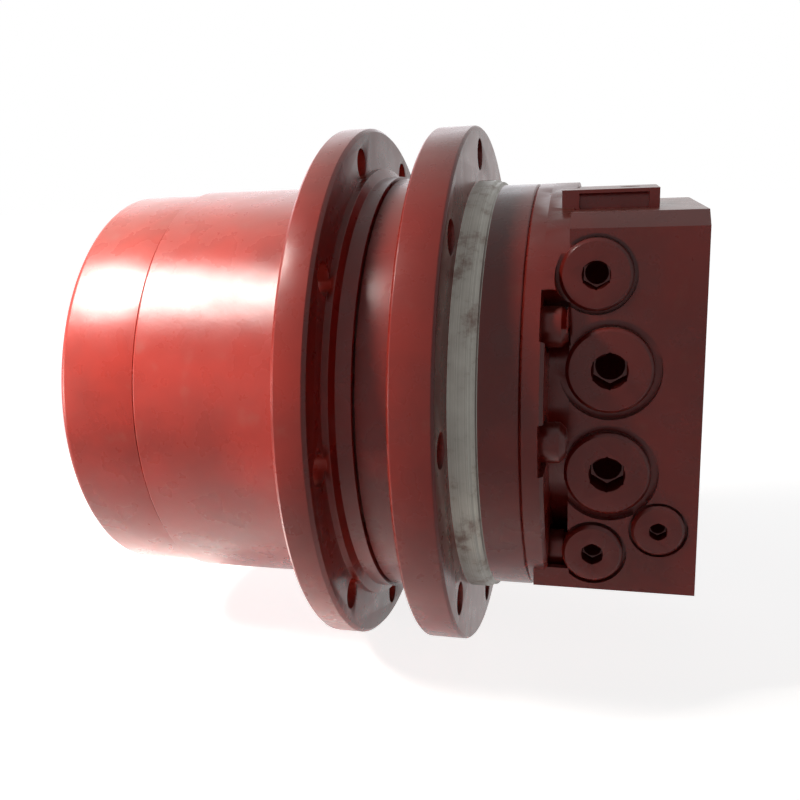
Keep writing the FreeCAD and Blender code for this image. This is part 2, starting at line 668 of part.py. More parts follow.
def housing():
    seal_end = d.seal_plane + d.seal_depth
    casting = turned("motor_casting", [
        (d.spindle_end, 21), (d.spindle_end, d.race_inner - 0.02),
        (d.spindle_shoulder, d.race_inner - 0.02), (d.spindle_shoulder, d.shoulder_radius),
        (seal_end, d.shoulder_radius), (seal_end, d.seal_pocket), (d.neck_start, d.seal_pocket),
        (d.neck_start, d.neck_radius), (d.frame_flange_back - 2, d.neck_radius),
        (d.frame_flange_back, d.neck_radius + 2),
        (d.frame_flange_back, d.frame_flange_radius - 1),
        (d.frame_flange_back + 1, d.frame_flange_radius), (-1.0, d.frame_flange_radius),
        (0, d.frame_flange_radius - 1), (0, d.pilot_radius), (d.pilot_length, d.pilot_radius),
        (d.pilot_length + 1, d.pilot_radius - 1), (d.body_start - 0.6, d.pilot_radius - 1),
        (d.body_start, d.body_radius), (d.split_x - d.split_bevel, d.body_radius),
        (d.split_x, d.body_radius - d.split_bevel), (d.split_x, d.piston_bore_large),
        (d.piston_step_large, d.piston_bore_large), (d.piston_step_large, d.piston_bore_small),
        (d.piston_step_small, d.piston_bore_small), (d.piston_step_small, d.disc_bore),
        (d.disc_floor, d.disc_bore), (d.disc_floor, d.motor_bore), (d.motor_floor, d.motor_bore),
        (d.motor_floor, d.front_bearing_outer), (d.front_bearing_start, d.front_bearing_outer),
        (d.front_bearing_start, d.shaft_seal_outer), (d.shaft_seal_start, d.shaft_seal_outer),
        (d.shaft_seal_start, 21)])
    drilled(casting, "frame_hole_1", d.frame_flange_back - 4, 1, d.frame_hole, d.frame_hole_circle,
            d.frame_holes)
    drilled(casting, "carrier_thread", d.spindle_end - 1, d.spindle_end + 18, 4.05,
            d.carrier_bolt_circle, d.second_planets, 45.0)
    screws = cylinder("screw_thread", "x", (d.screw_tip - 1, 0, d.screw_circle),
                      d.screw_shank + 0.05, d.split_x - d.screw_tip + 2)
    threads = around("screw_threads", screws, screw_angles())
    pivots = [sphere("pivot_seat_%d" % index, (d.motor_floor + 1, side * d.pivot_circle, 0),
                     d.pivot_ball + 0.05)
              for index, side in enumerate((-1, 1))]
    speed_bore = cylinder("speed_bore", "x", (d.motor_floor - 16, 0, d.pivot_circle), 6.05, 17)
    node(cut("motor_body", casting, [threads, speed_bore] + pivots), "motor_housing")


def screw_angles():
    """Nine cap screws, placed clear of the plugs: turns about X from the top."""
    front = [20.0, 60.0, 92.5, 137.0]
    return front + [-angle for angle in front] + [180.0]


def shaft_group():
    spline_end = d.block_start + 20
    blank = turned("shaft_blank", [
        (d.shaft_start, 0), (d.shaft_start, d.shaft_front), (d.front_bearing_start + 15, d.shaft_front),
        (d.front_bearing_start + 15, d.shaft_middle), (d.block_start - 6, d.shaft_middle),
        (d.block_start - 6, d.block_bore - 0.05), (spline_end, d.block_bore - 0.05),
        (spline_end + 2, d.shaft_front - 0.5), (d.rear_bearing_start - 1, d.shaft_front - 0.5),
        (d.rear_bearing_start - 1, d.shaft_rear), (d.shaft_end, d.shaft_rear), (d.shaft_end, 0)])
    socket = cylinder("shaft_socket", "x", (d.shaft_start - 1, 0, 0), d.sun_stem + 0.05,
                      d.socket_end - d.shaft_start + 1)
    node(cut("shaft", blank, [socket]), "drive_shaft")

    inner_races, outer_races, rollers = [], [], []
    for name, start, width, inner, outer, radius, count in (
            ("front", d.front_bearing_start, d.front_bearing_width, d.shaft_front,
             d.front_bearing_outer, 3.2, 10),
            ("rear", d.rear_bearing_start, d.rear_bearing_width, d.shaft_rear,
             d.rear_bearing_outer, 2.6, 10)):
        circle = (inner + outer) * 0.5
        track = as_size(radius + 0.03)
        end = start + width
        inner_races.append(tube(name + "_inner", start, end, inner + 0.01, circle - track))
        outer_races.append(turned(name + "_outer", [
            (start, circle + track - 1), (start, outer - 0.01), (end, outer - 0.01),
            (end, circle + track - 1), (end - 2, circle + track - 1), (end - 2, circle + track),
            (start + 2, circle + track), (start + 2, circle + track - 1)]))
        roller = cylinder(name + "_roller", "x", (start + 2.1, 0, circle), radius, width - 4.2)
        rollers.append(around(name + "_rollers", roller, even(count)))
    group("shaft_bearing_inner_races", inner_races)
    group("shaft_bearing_outer_races", outer_races)
    group("shaft_bearing_rollers", rollers)
    node(turned("shaft_lip_seal", [
        (d.shaft_seal_start + 0.1, d.shaft_front + 1.5),
        (d.shaft_seal_start + 0.1, d.shaft_seal_outer - 0.01),
        (d.shaft_seal_start + d.shaft_seal_width, d.shaft_seal_outer - 0.01),
        (d.shaft_seal_start + d.shaft_seal_width, d.shaft_seal_outer - 3),
        (d.shaft_seal_start + 2, d.shaft_seal_outer - 3),
        (d.shaft_seal_start + 2, d.shaft_front + 3),
        (d.shaft_seal_start + 5, d.shaft_front + 1.5),
        (d.shaft_seal_start + 4, d.shaft_front + 0.1)]), "shaft_oil_seal")


# ---------------------------------------------------------------- axial piston motor

def motor():
    swash = tube("swash_blank", d.swash_start, d.swash_end, d.swash_hole, d.swash_radius)
    seats = [sphere("swash_seat_%d" % index, (d.motor_floor + 1, side * d.pivot_circle, 0),
                    d.pivot_ball + 0.05)
             for index, side in enumerate((-1, 1))]
    node(cut("swash", swash, seats), "swash_plate")
    balls = [sphere("pivot_ball_%d" % index, (d.motor_floor + 1, side * d.pivot_circle, 0),
                    d.pivot_ball)
             for index, side in enumerate((-1, 1))]
    group("swash_pivot_balls", balls)
    node(cylinder("speed", "x", (d.motor_floor - 14, 0, d.pivot_circle), 6.0,
                  d.swash_start - d.motor_floor + 13.95), "speed_control_piston")

    holes = even(d.piston_count)
    slipper = cut("slipper", fuse("slipper_blank", [
        cylinder("slipper_pad", "x", (d.slipper_start, 0, d.piston_circle), d.slipper_radius,
                 d.slipper_shoulder - d.slipper_start),
        cylinder("slipper_neck", "x", (d.slipper_shoulder, 0, d.piston_circle), d.slipper_neck,
                 d.slipper_end - d.slipper_shoulder)]),
        [sphere("slipper_socket", (d.ball_x, 0, d.piston_circle), d.piston_ball + 0.05)])
    node(around("slipper_ring", slipper, holes), "piston_slippers")
    piston = cut("piston", fuse("piston_blank", [
        sphere("piston_ball", (d.ball_x, 0, d.piston_circle), d.piston_ball),
        cylinder("piston_neck", "x", (d.ball_x, 0, d.piston_circle), 2.6,
                 d.piston_start - d.ball_x + 1),
        cylinder("piston_skirt", "x", (d.piston_start, 0, d.piston_circle), d.piston_radius,
                 d.piston_end - d.piston_start)]),
        [cylinder("piston_bore", "x", (d.piston_start + 10, 0, d.piston_circle), 4,
                  d.piston_end - d.piston_start)])
    node(around("piston_ring", piston, holes), "motor_pistons")
    plate = tube("retainer_blank", d.retainer_start, d.retainer_end, 19.5, 33.5)
    drilled(plate, "slipper_window", d.retainer_start - 1, d.retainer_end + 1, d.slipper_neck + 0.3,
            d.piston_circle, d.piston_count)
    node(plate, "slipper_retainer")
    node(turned("guide", [
        (d.retainer_start, d.shaft_middle + 0.1), (d.retainer_start, 18.6),
        (d.retainer_start + 1.5, 19.4), (d.retainer_end, 19.2), (d.block_start - 3, 17),
        (d.block_start - 3, d.shaft_middle + 0.1)]), "retainer_ball_guide")

    rotor = turned("rotor_blank", [
        (d.block_start, d.block_bore), (d.block_start, d.block_radius - 1),
        (d.block_start + 1, d.block_radius), (d.block_end - 8, d.block_radius),
        (d.block_end - 7, d.block_radius - 2), (d.block_end, d.block_radius - 2),
        (d.block_end, 14), (d.block_end - 3, 18), (d.block_start + 20, 18),
        (d.block_start + 20, d.block_bore)])
    drilled(rotor, "cylinder_bore", d.block_start - 1, d.piston_end + 6, d.piston_radius + 0.03,
            d.piston_circle, d.piston_count)
    drilled(rotor, "cylinder_port", d.piston_end + 5, d.block_end + 1, d.kidney_radius,
            d.piston_circle, d.piston_count)
    node(rotor, "cylinder_block")
    node(coil("hold_down_spring", "x", (d.block_start + 20.2, 0, 0), 15.4, 1.6,
              d.block_end - d.block_start - 24, 5), "cylinder_block_spring")

    plate = tube("valve_plate_blank", d.valve_plate_start, d.split_x, 15, d.valve_plate_radius)
    slots = [kidney("kidney_%d" % index, d.valve_plate_start - 1,
                    d.split_x - d.valve_plate_start + 2, turn)
             for index, turn in enumerate((0, 180))]
    node(cut("valve_plate_cut", plate, slots), "valve_plate")


def kidney(label, start, length, turn):
    """A curved port that spans a third of the piston circle, on the front or the back."""
    circle = d.piston_circle.value
    half = d.kidney_radius.value
    begin = as_size(start).value
    run = as_size(length).value
    outer = Part.makeCylinder(circle + half, run, Vector(begin, 0, 0), Vector(1, 0, 0))
    inner = Part.makeCylinder(circle - half, run, Vector(begin, 0, 0), Vector(1, 0, 0))
    ring = outer.cut(inner)
    wedge = Part.makePolygon([Vector(begin, 0, 0), Vector(begin, 60, 60), Vector(begin, 60, -60),
                              Vector(begin, 0, 0)])
    wedge = Part.Face(wedge).extrude(Vector(run, 0, 0))
    return made(label, about_axis(ring.common(wedge), turn))


def coil(label, along, spot, radius, wire, length, turns):
    """A helical spring of square wire with its first end at the spot."""
    spot = [as_size(number).value for number in spot]
    radius, wire = as_size(radius).value, as_size(wire).value
    run = as_size(length).value - wire
    helix = Part.makeHelix(run / turns, run, radius)
    half = wire / 2
    corners = [Vector(radius + x, 0, z) for x, z in
               ((-half, -half), (half, -half), (half, half), (-half, half), (-half, -half))]
    pipe = Part.Wire(helix).makePipeShell([Part.makePolygon(corners)], True, True)
    pipe.translate(Vector(0, 0, half))
    pipe.Placement = Placement(Vector(*spot), ALONG[along]) * pipe.Placement
    return made(label, pipe)


# ---------------------------------------------------------------- parking brake

def parking_brake():
    step = d.disc_thick + d.separator_thick + d.disc_gap * 2
    plates, linings = [], []
    start = d.disc_floor + 0.05
    for index in range(int(d.disc_count.value)):
        plates.append(tube("separator_%d" % index, start, start + d.separator_thick,
                           d.separator_inner, d.disc_bore - 0.05))
        lining = start + d.separator_thick + d.disc_gap
        linings.append(tube("lining_%d" % index, lining, lining + d.disc_thick,
                            d.block_radius + 0.05, d.disc_outer))
        start = start + step
    group("brake_separator_plates", plates)
    group("brake_friction_discs", linings)
    small = d.piston_bore_small - 0.05
    large = d.piston_bore_large - 0.05
    node(turned("brake_ring", [
        (start, d.brake_piston_inner), (start, d.disc_bore - 2),
        (d.piston_step_small + 0.4, d.disc_bore - 2),
        (d.piston_step_small + 0.4, small), (d.piston_step_small + 5, small),
        (d.piston_step_small + 5, small - 2.4), (d.piston_step_small + 8, small - 2.4),
        (d.piston_step_small + 8, small), (d.piston_step_large + 0.8, small),
        (d.piston_step_large + 0.8, large), (d.piston_step_large + 3, large),
        (d.piston_step_large + 3, large - 2.4), (d.piston_step_large + 6, large - 2.4),
        (d.piston_step_large + 6, large), (d.brake_piston_end, large),
        (d.brake_piston_end, d.brake_piston_inner)]), "brake_piston")
    group("brake_piston_seals", [
        square_ring("brake_seal_small", d.piston_step_small + 6.5, small - 1.2, 1.15),
        square_ring("brake_seal_large", d.piston_step_large + 4.5, large - 1.2, 1.15)])
    far = d.brake_piston_end + 1.4
    group("brake_disc_springs", [
        turned("disc_spring_left", [(far, 66), (far + 1.4, 66), (far + 3.1, 44), (far + 1.7, 44)]),
        turned("disc_spring_right", [(far + 3.15, 44), (far + 4.55, 44), (far + 6.2, 66),
                                     (far + 4.8, 66)])])


# ---------------------------------------------------------------- valve block

# front plugs: place (x, z), head, counterbore, thread, hexagon, depth of the thread
PLUGS = {
    "speed_valve_plug": (54.1, 59.6, 14.0, 15.4, 11.0, 10.0, 14.0),
    "lower_gauge_plug": (54.0, -54.3, 12.2, 13.6, 9.5, 8.0, 12.0),
    "check_valve_plug": (79.7, -43.0, 10.5, 11.6, 8.0, 6.5, 10.0),
}
PAIRS = {
    "spool_end_caps": (59.7, 22.4, 17.0, 20.0, 15.0, 13.0, 16.0),
    "relief_valve_plugs": (59.3, -19.8, 17.0, 20.0, 14.0, 13.0, 16.0),
}
COUNTERBORE = 4.0
HEAD = 5.5
SPRING_SEAT = 9.0
SPRING_POCKET = 7.0
SPOOL_LENGTH = 82.0
SPOOL_LAND = 14.0
VALVE_TRAVEL = 3.1
RELIEF_SEAT = 11.3


def front_plug(label, row, side):
    """A plug in the front (-1) or back (+1) face of the block, seated in its counterbore."""
    x, z, head, seat, thread, across, depth = row
    floor = side * (d.block_half - COUNTERBORE)
    return plug(label, "y", (x, floor, z), head, HEAD, thread - 0.05, depth, across, side)


def plug_bores(label, row, side):
    x, z, head, seat, thread, across, depth = row
    outside = side * (d.block_half + 1)
    low = outside if side < 0 else d.block_half - COUNTERBORE
    thread_low = outside if side < 0 else d.block_half - COUNTERBORE - depth - 1
    return [cylinder(label + "_seat", "y", (x, low, z), seat, COUNTERBORE + 1),
            cylinder(label + "_bore", "y", (x, thread_low, z), thread, COUNTERBORE + depth + 2)]


def valve_block():
    body = box("block_body", (d.block_left, -d.block_half, d.block_bottom),
               (d.block_right, d.block_half, d.block_top))
    bevels = []
    for name, side in (("front", -1), ("back", 1)):
        edge = side * d.block_half
        deep = d.top_bevel_deep
        start, end, high = d.block_left.value - 20, d.block_right.value + 1, d.block_top.value
        corner = [Vector(start, edge.value, high - d.top_bevel_high.value),
                  Vector(start, edge.value, high + 20), Vector(start, edge.value * 1.3, high + 20),
                  Vector(start, edge.value * 1.3, high - d.top_bevel_high.value)]
        corner[1] = Vector(start, edge.value - side * deep.value, high)
        corner.insert(2, Vector(start, edge.value - side * deep.value, high + 20))
        corner[3] = Vector(start, edge.value * 1.3, high + 20)
        face = Part.Face(Part.makePolygon(corner + [corner[0]]))
        bevels.append(made("top_bevel_" + name, face.extrude(Vector(end - start, 0, 0))))
    flange = turned("block_flange", [
        (d.split_x, 0), (d.split_x, d.body_radius - d.split_bevel),
        (d.split_x + d.split_bevel, d.body_radius), (d.block_flange_end - 1.5, d.body_radius),
        (d.block_flange_end, d.body_radius - 1.5), (d.block_flange_end, d.block_neck),
        (d.block_left + 1, d.block_neck), (d.block_left + 1, 0)])
    pad = box("top_pad", (d.pad_left - 6, d.pad_front, d.block_top - 20),
              (d.pad_right, d.pad_back, d.pad_top))
    solid = fuse("block_solid", [cut("block_bevelled", body, bevels), flange, pad])

    pocket = cylinder("screw_pocket", "x", (d.screw_seat, 0, d.screw_circle), d.screw_pocket,
                      d.block_left - d.screw_seat + 0.4)
    passage = cylinder("screw_passage", "x", (d.split_x - 1, 0, d.screw_circle),
                       d.screw_shank + 0.5, d.screw_seat - d.split_x + 2)
    tools = [around("screw_pockets", pocket, screw_angles()),
             around("screw_passages", passage, screw_angles())]
    for label, row in PLUGS.items():
        tools += plug_bores(label, row, -1)
    for label, row in PAIRS.items():
        tools += plug_bores(label + "_front", row, -1) + plug_bores(label + "_rear", row, 1)
    spool_x, spool_z = PAIRS["spool_end_caps"][:2]
    relief_x, relief_z = PAIRS["relief_valve_plugs"][:2]
    speed_x, speed_z = PLUGS["speed_valve_plug"][:2]
    through = d.block_half * 2 - 4
    tools += [
        cylinder("spool_bore", "y", (spool_x, -1 * d.block_half + 2, spool_z), d.spool_radius + 0.03,
                 through),
        cylinder("relief_bore_front", "y", (relief_x, -1 * d.block_half + 2, relief_z), 8.03,
                 d.block_half - 2 - RELIEF_SEAT),
        cylinder("relief_bore_rear", "y", (relief_x, RELIEF_SEAT, relief_z), 8.03,
                 d.block_half - 2 - RELIEF_SEAT),
        cylinder("relief_passage", "y", (relief_x, -RELIEF_SEAT - 1, relief_z), 4.05,
                 RELIEF_SEAT * 2 + 2),
        cylinder("speed_bore_block", "y", (speed_x, -1 * d.block_half + 2, speed_z), 7.03, 62),
        cylinder("rear_bearing_pocket", "x", (d.split_x - 1, 0, 0), d.rear_bearing_outer,
                 d.rear_bearing_start + d.rear_bearing_width - d.split_x + 2),
        cylinder("drain_port", "x", (d.block_right - d.drain_depth, 0, d.drain_height),
                 d.drain_radius, d.drain_depth + 1),
        cylinder("pilot_port_hole", "z", (d.pilot_port_x, d.pilot_port_y, d.pad_top - 12),
                 d.pilot_port, 13),
        box("pad_window", (d.pad_left + 0.8, d.pad_front - 1, d.block_top + 0.1),
            (d.pad_right - 4, d.pad_front + 3, d.pad_top - 1.4)),
    ]
    for index, side in enumerate((-1, 1)):
        tools.append(cylinder("main_port_%d" % index, "x",
                              (d.block_right - d.port_depth, side * d.port_offset, 0),
                              d.port_radius, d.port_depth + 1))
    node(cut("block", solid, tools), "valve_block")


def block_fittings():
    plugs = {label: front_plug(label + "_made", row, -1) for label, row in PLUGS.items()}
    node(plugs.pop("speed_valve_plug"), "speed_valve_plug")
    group("gauge_port_plugs", list(plugs.values()))
    for label, row in PAIRS.items():
        group(label, [hollow_plug(label + "_front", row, -1), hollow_plug(label + "_rear", row, 1)])
    screw = cut("cap_screw", fuse("cap_screw_blank", [
        cylinder("cap_screw_head", "x", (d.screw_seat, 0, d.screw_circle), d.screw_head,
                 d.block_left - d.screw_seat),
        cylinder("cap_screw_shank", "x", (d.screw_tip, 0, d.screw_circle), d.screw_shank,
                 d.screw_seat - d.screw_tip + 1)]),
        [hexagon("cap_screw_socket", "x",
                 (d.block_left - d.socket_depth, 0, d.screw_circle), 8, d.socket_depth + 1)])
    node(around("cap_screw_ring", screw, screw_angles()), "valve_block_screws")


def hollow_plug(label, row, side):
    """A plug whose inner end holds a spring."""
    x, z, head, seat, thread, across, depth = row
    inner_end = d.block_half - COUNTERBORE - depth
    low = inner_end - 1 if side > 0 else -1 * inner_end - SPRING_POCKET
    pocket = cylinder(label + "_pocket", "y", (x, low, z), SPRING_SEAT, SPRING_POCKET + 1)
    return cut(label, front_plug(label + "_solid", row, side), [pocket])


def valves():
    """Spool, relief poppets and speed selector, with their springs at rest length."""
    x, z = PAIRS["spool_end_caps"][:2]
    cap = (d.block_half - COUNTERBORE - PAIRS["spool_end_caps"][6] + SPRING_POCKET).value - 0.1
    end = SPOOL_LENGTH / 2
    lands = [cylinder("spool_land_%d" % index, "y", (x, start, z), d.spool_radius, SPOOL_LAND)
             for index, start in enumerate((-end, -SPOOL_LAND / 2, end - SPOOL_LAND))]
    stem = cylinder("spool_stem", "y", (x, -end, z), 7, SPOOL_LENGTH)
    node(fuse("spool", lands + [stem]), "counterbalance_spool")
    spring = cap - end - VALVE_TRAVEL
    springs = [coil("spool_spring_front", "y", (x, -cap, z), 7.4, 1.2, spring, 3),
               coil("spool_spring_rear", "y", (x, cap - spring, z), 7.4, 1.2, spring, 3)]

    x, z = PAIRS["relief_valve_plugs"][:2]
    for name, side in (("front", -1), ("rear", 1)):
        skirt = cylinder(name + "_skirt", "y", (x, min(side * 34, side * 14), z), 8.0, 20)
        if side > 0:
            tip = cone(name + "_tip", "y", (x, 10, z), 2, 8, 4)
        else:
            tip = cone(name + "_tip", "y", (x, -14, z), 8, 2, 4)
        node(fuse(name + "_poppet", [skirt, tip]), name + "_relief_poppet")
        spring = cap - 34 - VALVE_TRAVEL
        springs.append(coil(name + "_relief_spring", "y",
                            (x, -cap if side < 0 else cap - spring, z), 6.0, 1.2, spring, 4))

    x, z = PLUGS["speed_valve_plug"][:2]
    lands = [cylinder("speed_land_%d" % index, "y", (x, start, z), 7.0, 8)
             for index, start in enumerate((-38, -22))]
    stem = cylinder("speed_stem", "y", (x, -38, z), 4.5, 24)
    node(fuse("speed_spool_made", lands + [stem]), "speed_selector_spool")
    wall = (d.block_half - COUNTERBORE - PLUGS["speed_valve_plug"][6]).value - 0.1
    springs.append(coil("speed_spring", "y", (x, -wall, z), 5.4, 1.2, wall - 38 - VALVE_TRAVEL, 3))
    group("valve_springs", springs)


def finish():
    """Recomputes, checks every object and writes each piece to its own file."""
    doc.recompute()
    for thing in doc.Objects:
        if "Invalid" in thing.State or "Error" in thing.State:
            raise RuntimeError("%s did not compute: %s" % (thing.Label, thing.State))
    os.makedirs("parts", exist_ok=True)
    for piece in nodes:
        shape = piece.Shape
        if shape.isNull() or not shape.isValid() or not shape.Solids:
            raise RuntimeError("%s has no valid solid" % piece.Label)
        shape.exportStep("parts/%s.step" % piece.Label)
    print(len(nodes), "pieces")


hub_side()
main_bearings()
face_seal("hub", -1)
face_seal("frame", 1)
gear_train()
housing()
shaft_group()
motor()
parking_brake()
valve_block()
block_fittings()
valves()
finish()
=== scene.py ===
"""Looks of the excavator final drive: finishes, rounded castings, port plugs and cap screws.

Laid out as an add-on and run as a script. Everything is in metres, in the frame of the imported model:
X is the turning axis, from the hub to the valve block, and Z is up.
"""
import json
import math

import bmesh
import bpy
from bpy.props import FloatProperty, FloatVectorProperty, PointerProperty
from mathutils import Matrix, Vector

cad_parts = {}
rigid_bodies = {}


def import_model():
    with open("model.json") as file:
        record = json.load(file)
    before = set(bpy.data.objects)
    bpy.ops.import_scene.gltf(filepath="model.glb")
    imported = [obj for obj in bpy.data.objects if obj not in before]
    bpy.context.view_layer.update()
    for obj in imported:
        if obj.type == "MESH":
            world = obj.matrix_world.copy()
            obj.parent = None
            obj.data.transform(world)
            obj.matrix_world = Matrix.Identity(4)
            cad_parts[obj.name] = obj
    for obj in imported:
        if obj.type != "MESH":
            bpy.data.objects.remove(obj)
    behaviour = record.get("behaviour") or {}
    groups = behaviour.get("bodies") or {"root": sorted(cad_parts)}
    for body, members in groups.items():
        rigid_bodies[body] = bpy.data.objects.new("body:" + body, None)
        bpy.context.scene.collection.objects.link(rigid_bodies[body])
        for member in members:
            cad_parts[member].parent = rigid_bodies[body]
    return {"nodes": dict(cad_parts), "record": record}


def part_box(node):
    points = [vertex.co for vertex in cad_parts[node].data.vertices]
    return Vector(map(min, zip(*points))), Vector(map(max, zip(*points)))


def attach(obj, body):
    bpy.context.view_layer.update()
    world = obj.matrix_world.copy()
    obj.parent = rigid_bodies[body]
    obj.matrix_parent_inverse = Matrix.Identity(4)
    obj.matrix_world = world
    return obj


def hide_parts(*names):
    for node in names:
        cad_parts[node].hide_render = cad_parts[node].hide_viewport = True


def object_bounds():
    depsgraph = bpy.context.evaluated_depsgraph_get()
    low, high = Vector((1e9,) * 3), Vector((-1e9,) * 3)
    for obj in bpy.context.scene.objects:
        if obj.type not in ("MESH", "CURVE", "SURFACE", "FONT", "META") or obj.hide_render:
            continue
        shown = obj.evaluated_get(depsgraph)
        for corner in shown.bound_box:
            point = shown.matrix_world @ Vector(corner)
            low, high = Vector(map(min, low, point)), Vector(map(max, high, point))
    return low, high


bl_info = {
    "name": "Final drive",
    "version": (1, 0, 0),
    "blender": (4, 5, 0),
    "location": "View3D > Sidebar > Final drive",
    "description": "Dresses the packed final drive with castings, plugs, screws and finishes",
    "category": "Object",
}

for leftover in list(bpy.data.objects):
    bpy.data.objects.remove(leftover)
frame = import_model()
CAD_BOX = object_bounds()

MM = 0.001


# ---------------------------------------------------------------- colours and nodes

def linear(text):
    """An sRGB hex colour as linear numbers."""
    channels = [int(text[start:start + 2], 16) / 255 for start in (1, 3, 5)]
    return [value / 12.92 if value <= 0.04045 else ((value + 0.055) / 1.055) ** 2.4
            for value in channels]


def add_node(tree, kind, inputs=None, **settings):
    """Adds a node; an input is a number, a colour or another node's output."""
    made = tree.nodes.new(kind)
    for name, value in settings.items():
        setattr(made, name, value)
    for name, value in (inputs or {}).items():
        if isinstance(value, bpy.types.NodeSocket):
            tree.links.new(value, made.inputs[name])
        else:
            made.inputs[name].default_value = value
    return made


def new_material(name):
    material = bpy.data.materials.new(name)
    material.use_nodes = True
    material.node_tree.nodes.clear()
    return material, material.node_tree


def close_material(tree, shader):
    add_node(tree, "ShaderNodeOutputMaterial", {"Surface": shader.outputs[0]})


def place_on_object(tree):
    return add_node(tree, "ShaderNodeTexCoord").outputs["Object"]


def lathe_place(tree):
    """Station along X and radius about it, so that a pattern runs round as tool marks do."""
    parts = add_node(tree, "ShaderNodeSeparateXYZ", {"Vector": place_on_object(tree)})
    flat = add_node(tree, "ShaderNodeCombineXYZ", {"Y": parts.outputs["Y"], "Z": parts.outputs["Z"]})
    radius = add_node(tree, "ShaderNodeVectorMath", {0: flat.outputs[0]}, operation="LENGTH")
    place = add_node(tree, "ShaderNodeCombineXYZ",
                     {"X": parts.outputs["X"], "Y": radius.outputs["Value"]})
    return place.outputs[0]


def noise(tree, place, size_mm, detail=4.0, roughness=0.55):
    """Noise whose features are about this many millimetres across."""
    made = add_node(tree, "ShaderNodeTexNoise",
                    {"Vector": place, "Scale": 1.0 / (size_mm * MM), "Detail": detail,
                     "Roughness": roughness})
    return made.outputs[0]


def between(tree, value, low, high, result_low, result_high):
    made = add_node(tree, "ShaderNodeMapRange",
                    {"Value": value, "From Min": low, "From Max": high, "To Min": result_low,
                     "To Max": result_high}, clamp=True)
    return made.outputs[0]


def blend_colours(tree, factor, first, second):
    made = add_node(tree, "ShaderNodeMix", {"Factor": factor}, data_type="RGBA")
    for socket, value in zip(made.inputs[6:8], (first, second)):
        if isinstance(value, bpy.types.NodeSocket):
            tree.links.new(value, socket)
        else:
            socket.default_value = (*value, 1.0)
    return made.outputs[2]


def bumps(tree, height, depth_mm, normal=None):
    inputs = {"Height": height, "Distance": depth_mm * MM, "Strength": 1.0}
    if normal is not None:
        inputs["Normal"] = normal
    return add_node(tree, "ShaderNodeBump", inputs).outputs[0]


# ---------------------------------------------------------------- finishes

def red_oxide_enamel(paint):
    """Semi-gloss red-oxide enamel sprayed over cast iron.

    Orange peel breaks up the highlight, the casting's skin shows as low waves, and dust dulls
    it in patches. Upward faces turn pale grey-brown: partly settled dust, partly a painted
    highlight where the light falls on the tops.
    """
    material, tree = new_material("red_oxide_enamel")
    place = place_on_object(tree)
    patches = noise(tree, place, paint.patch_size, 5.0)
    dust = noise(tree, place, paint.patch_size * 0.3, 4.0, 0.5)
    base = blend_colours(tree, between(tree, patches, 0.35, 0.68, 0.0, 1.0),
                         list(paint.colour), list(paint.thin_colour))
    base = blend_colours(tree, between(tree, dust, 0.6, 0.85, 0.0, 0.16), base, linear("#8a7468"))
    # upward faces paled towards grey-brown: partly settled dust, partly a painted highlight on the
    # tops
    facing = add_node(tree, "ShaderNodeSeparateXYZ",
                      {"Vector": add_node(tree, "ShaderNodeNewGeometry").outputs["Normal"]})
    settled_dust_and_top_glare = add_node(tree, "ShaderNodeMath",
                       {0: between(tree, facing.outputs["Z"], 0.7, 1.0, 0.0, 0.5),
                        1: between(tree, dust, 0.3, 0.7, 0.75, 1.0)}, operation="MULTIPLY")
    # the pale grey-brown of dust and of the painted top highlight
    base = blend_colours(tree, settled_dust_and_top_glare.outputs[0], base, linear("#77675f"))
    gloss = between(tree, dust, 0.3, 0.75, paint.roughness - 0.02, paint.roughness + 0.06)
    peel = bumps(tree, noise(tree, place, paint.peel_size, 2.0), 0.03)
    skin = bumps(tree, noise(tree, place, 14.0, 1.0), 0.16, peel)
    shader = add_node(tree, "ShaderNodeBsdfPrincipled",
                      {"Base Color": base, "Roughness": gloss, "Normal": skin,
                       "Specular IOR Level": 0.33})
    close_material(tree, shader)
    return material


def socket_shade_enamel(paint):
    """The same enamel darkened for sockets and seats: painted shade in the recesses, matt, with patchy
    tone.
    """
    material, tree = new_material("shaded_red_enamel")
    place = place_on_object(tree)
    patches = noise(tree, place, 6.0, 5.0)
    # the enamel at a fifth and the thin enamel at half their brightness: painted shade inside the
    # sockets
    dark = [channel * 0.2 for channel in paint.colour]
    shaded_thin_enamel = [channel * 0.5 for channel in paint.thin_colour]
    base = blend_colours(tree, between(tree, patches, 0.35, 0.7, 0.0, 1.0), dark, shaded_thin_enamel)
    shader = add_node(tree, "ShaderNodeBsdfPrincipled",
                      {"Base Color": base, "Roughness": 0.7, "Specular IOR Level": 0.05,
                       "Normal": bumps(tree, noise(tree, place, 0.8, 3.0), 0.05)})
    close_material(tree, shader)
    return material


def turned_iron():
    """Bare machined cast iron: grey, with fine tool rings and a mist of red overspray."""
    material, tree = new_material("turned_cast_iron")
    rings = noise(tree, lathe_place(tree), 0.45, 2.0)
    place = place_on_object(tree)
    stain = noise(tree, place, 11.0, 6.0, 0.7)
    base = blend_colours(tree, rings, linear("#6f6c66"), linear("#a7a49c"))
    base = blend_colours(tree, between(tree, stain, 0.52, 0.7, 0.0, 0.7), base, linear("#5c3a30"))
    shader = add_node(tree, "ShaderNodeBsdfPrincipled",
                      {"Base Color": base, "Metallic": 0.75,
                       "Roughness": between(tree, stain, 0.3, 0.7, 0.34, 0.6),
                       "Normal": bumps(tree, rings, 0.02)})
    close_material(tree, shader)
    return material


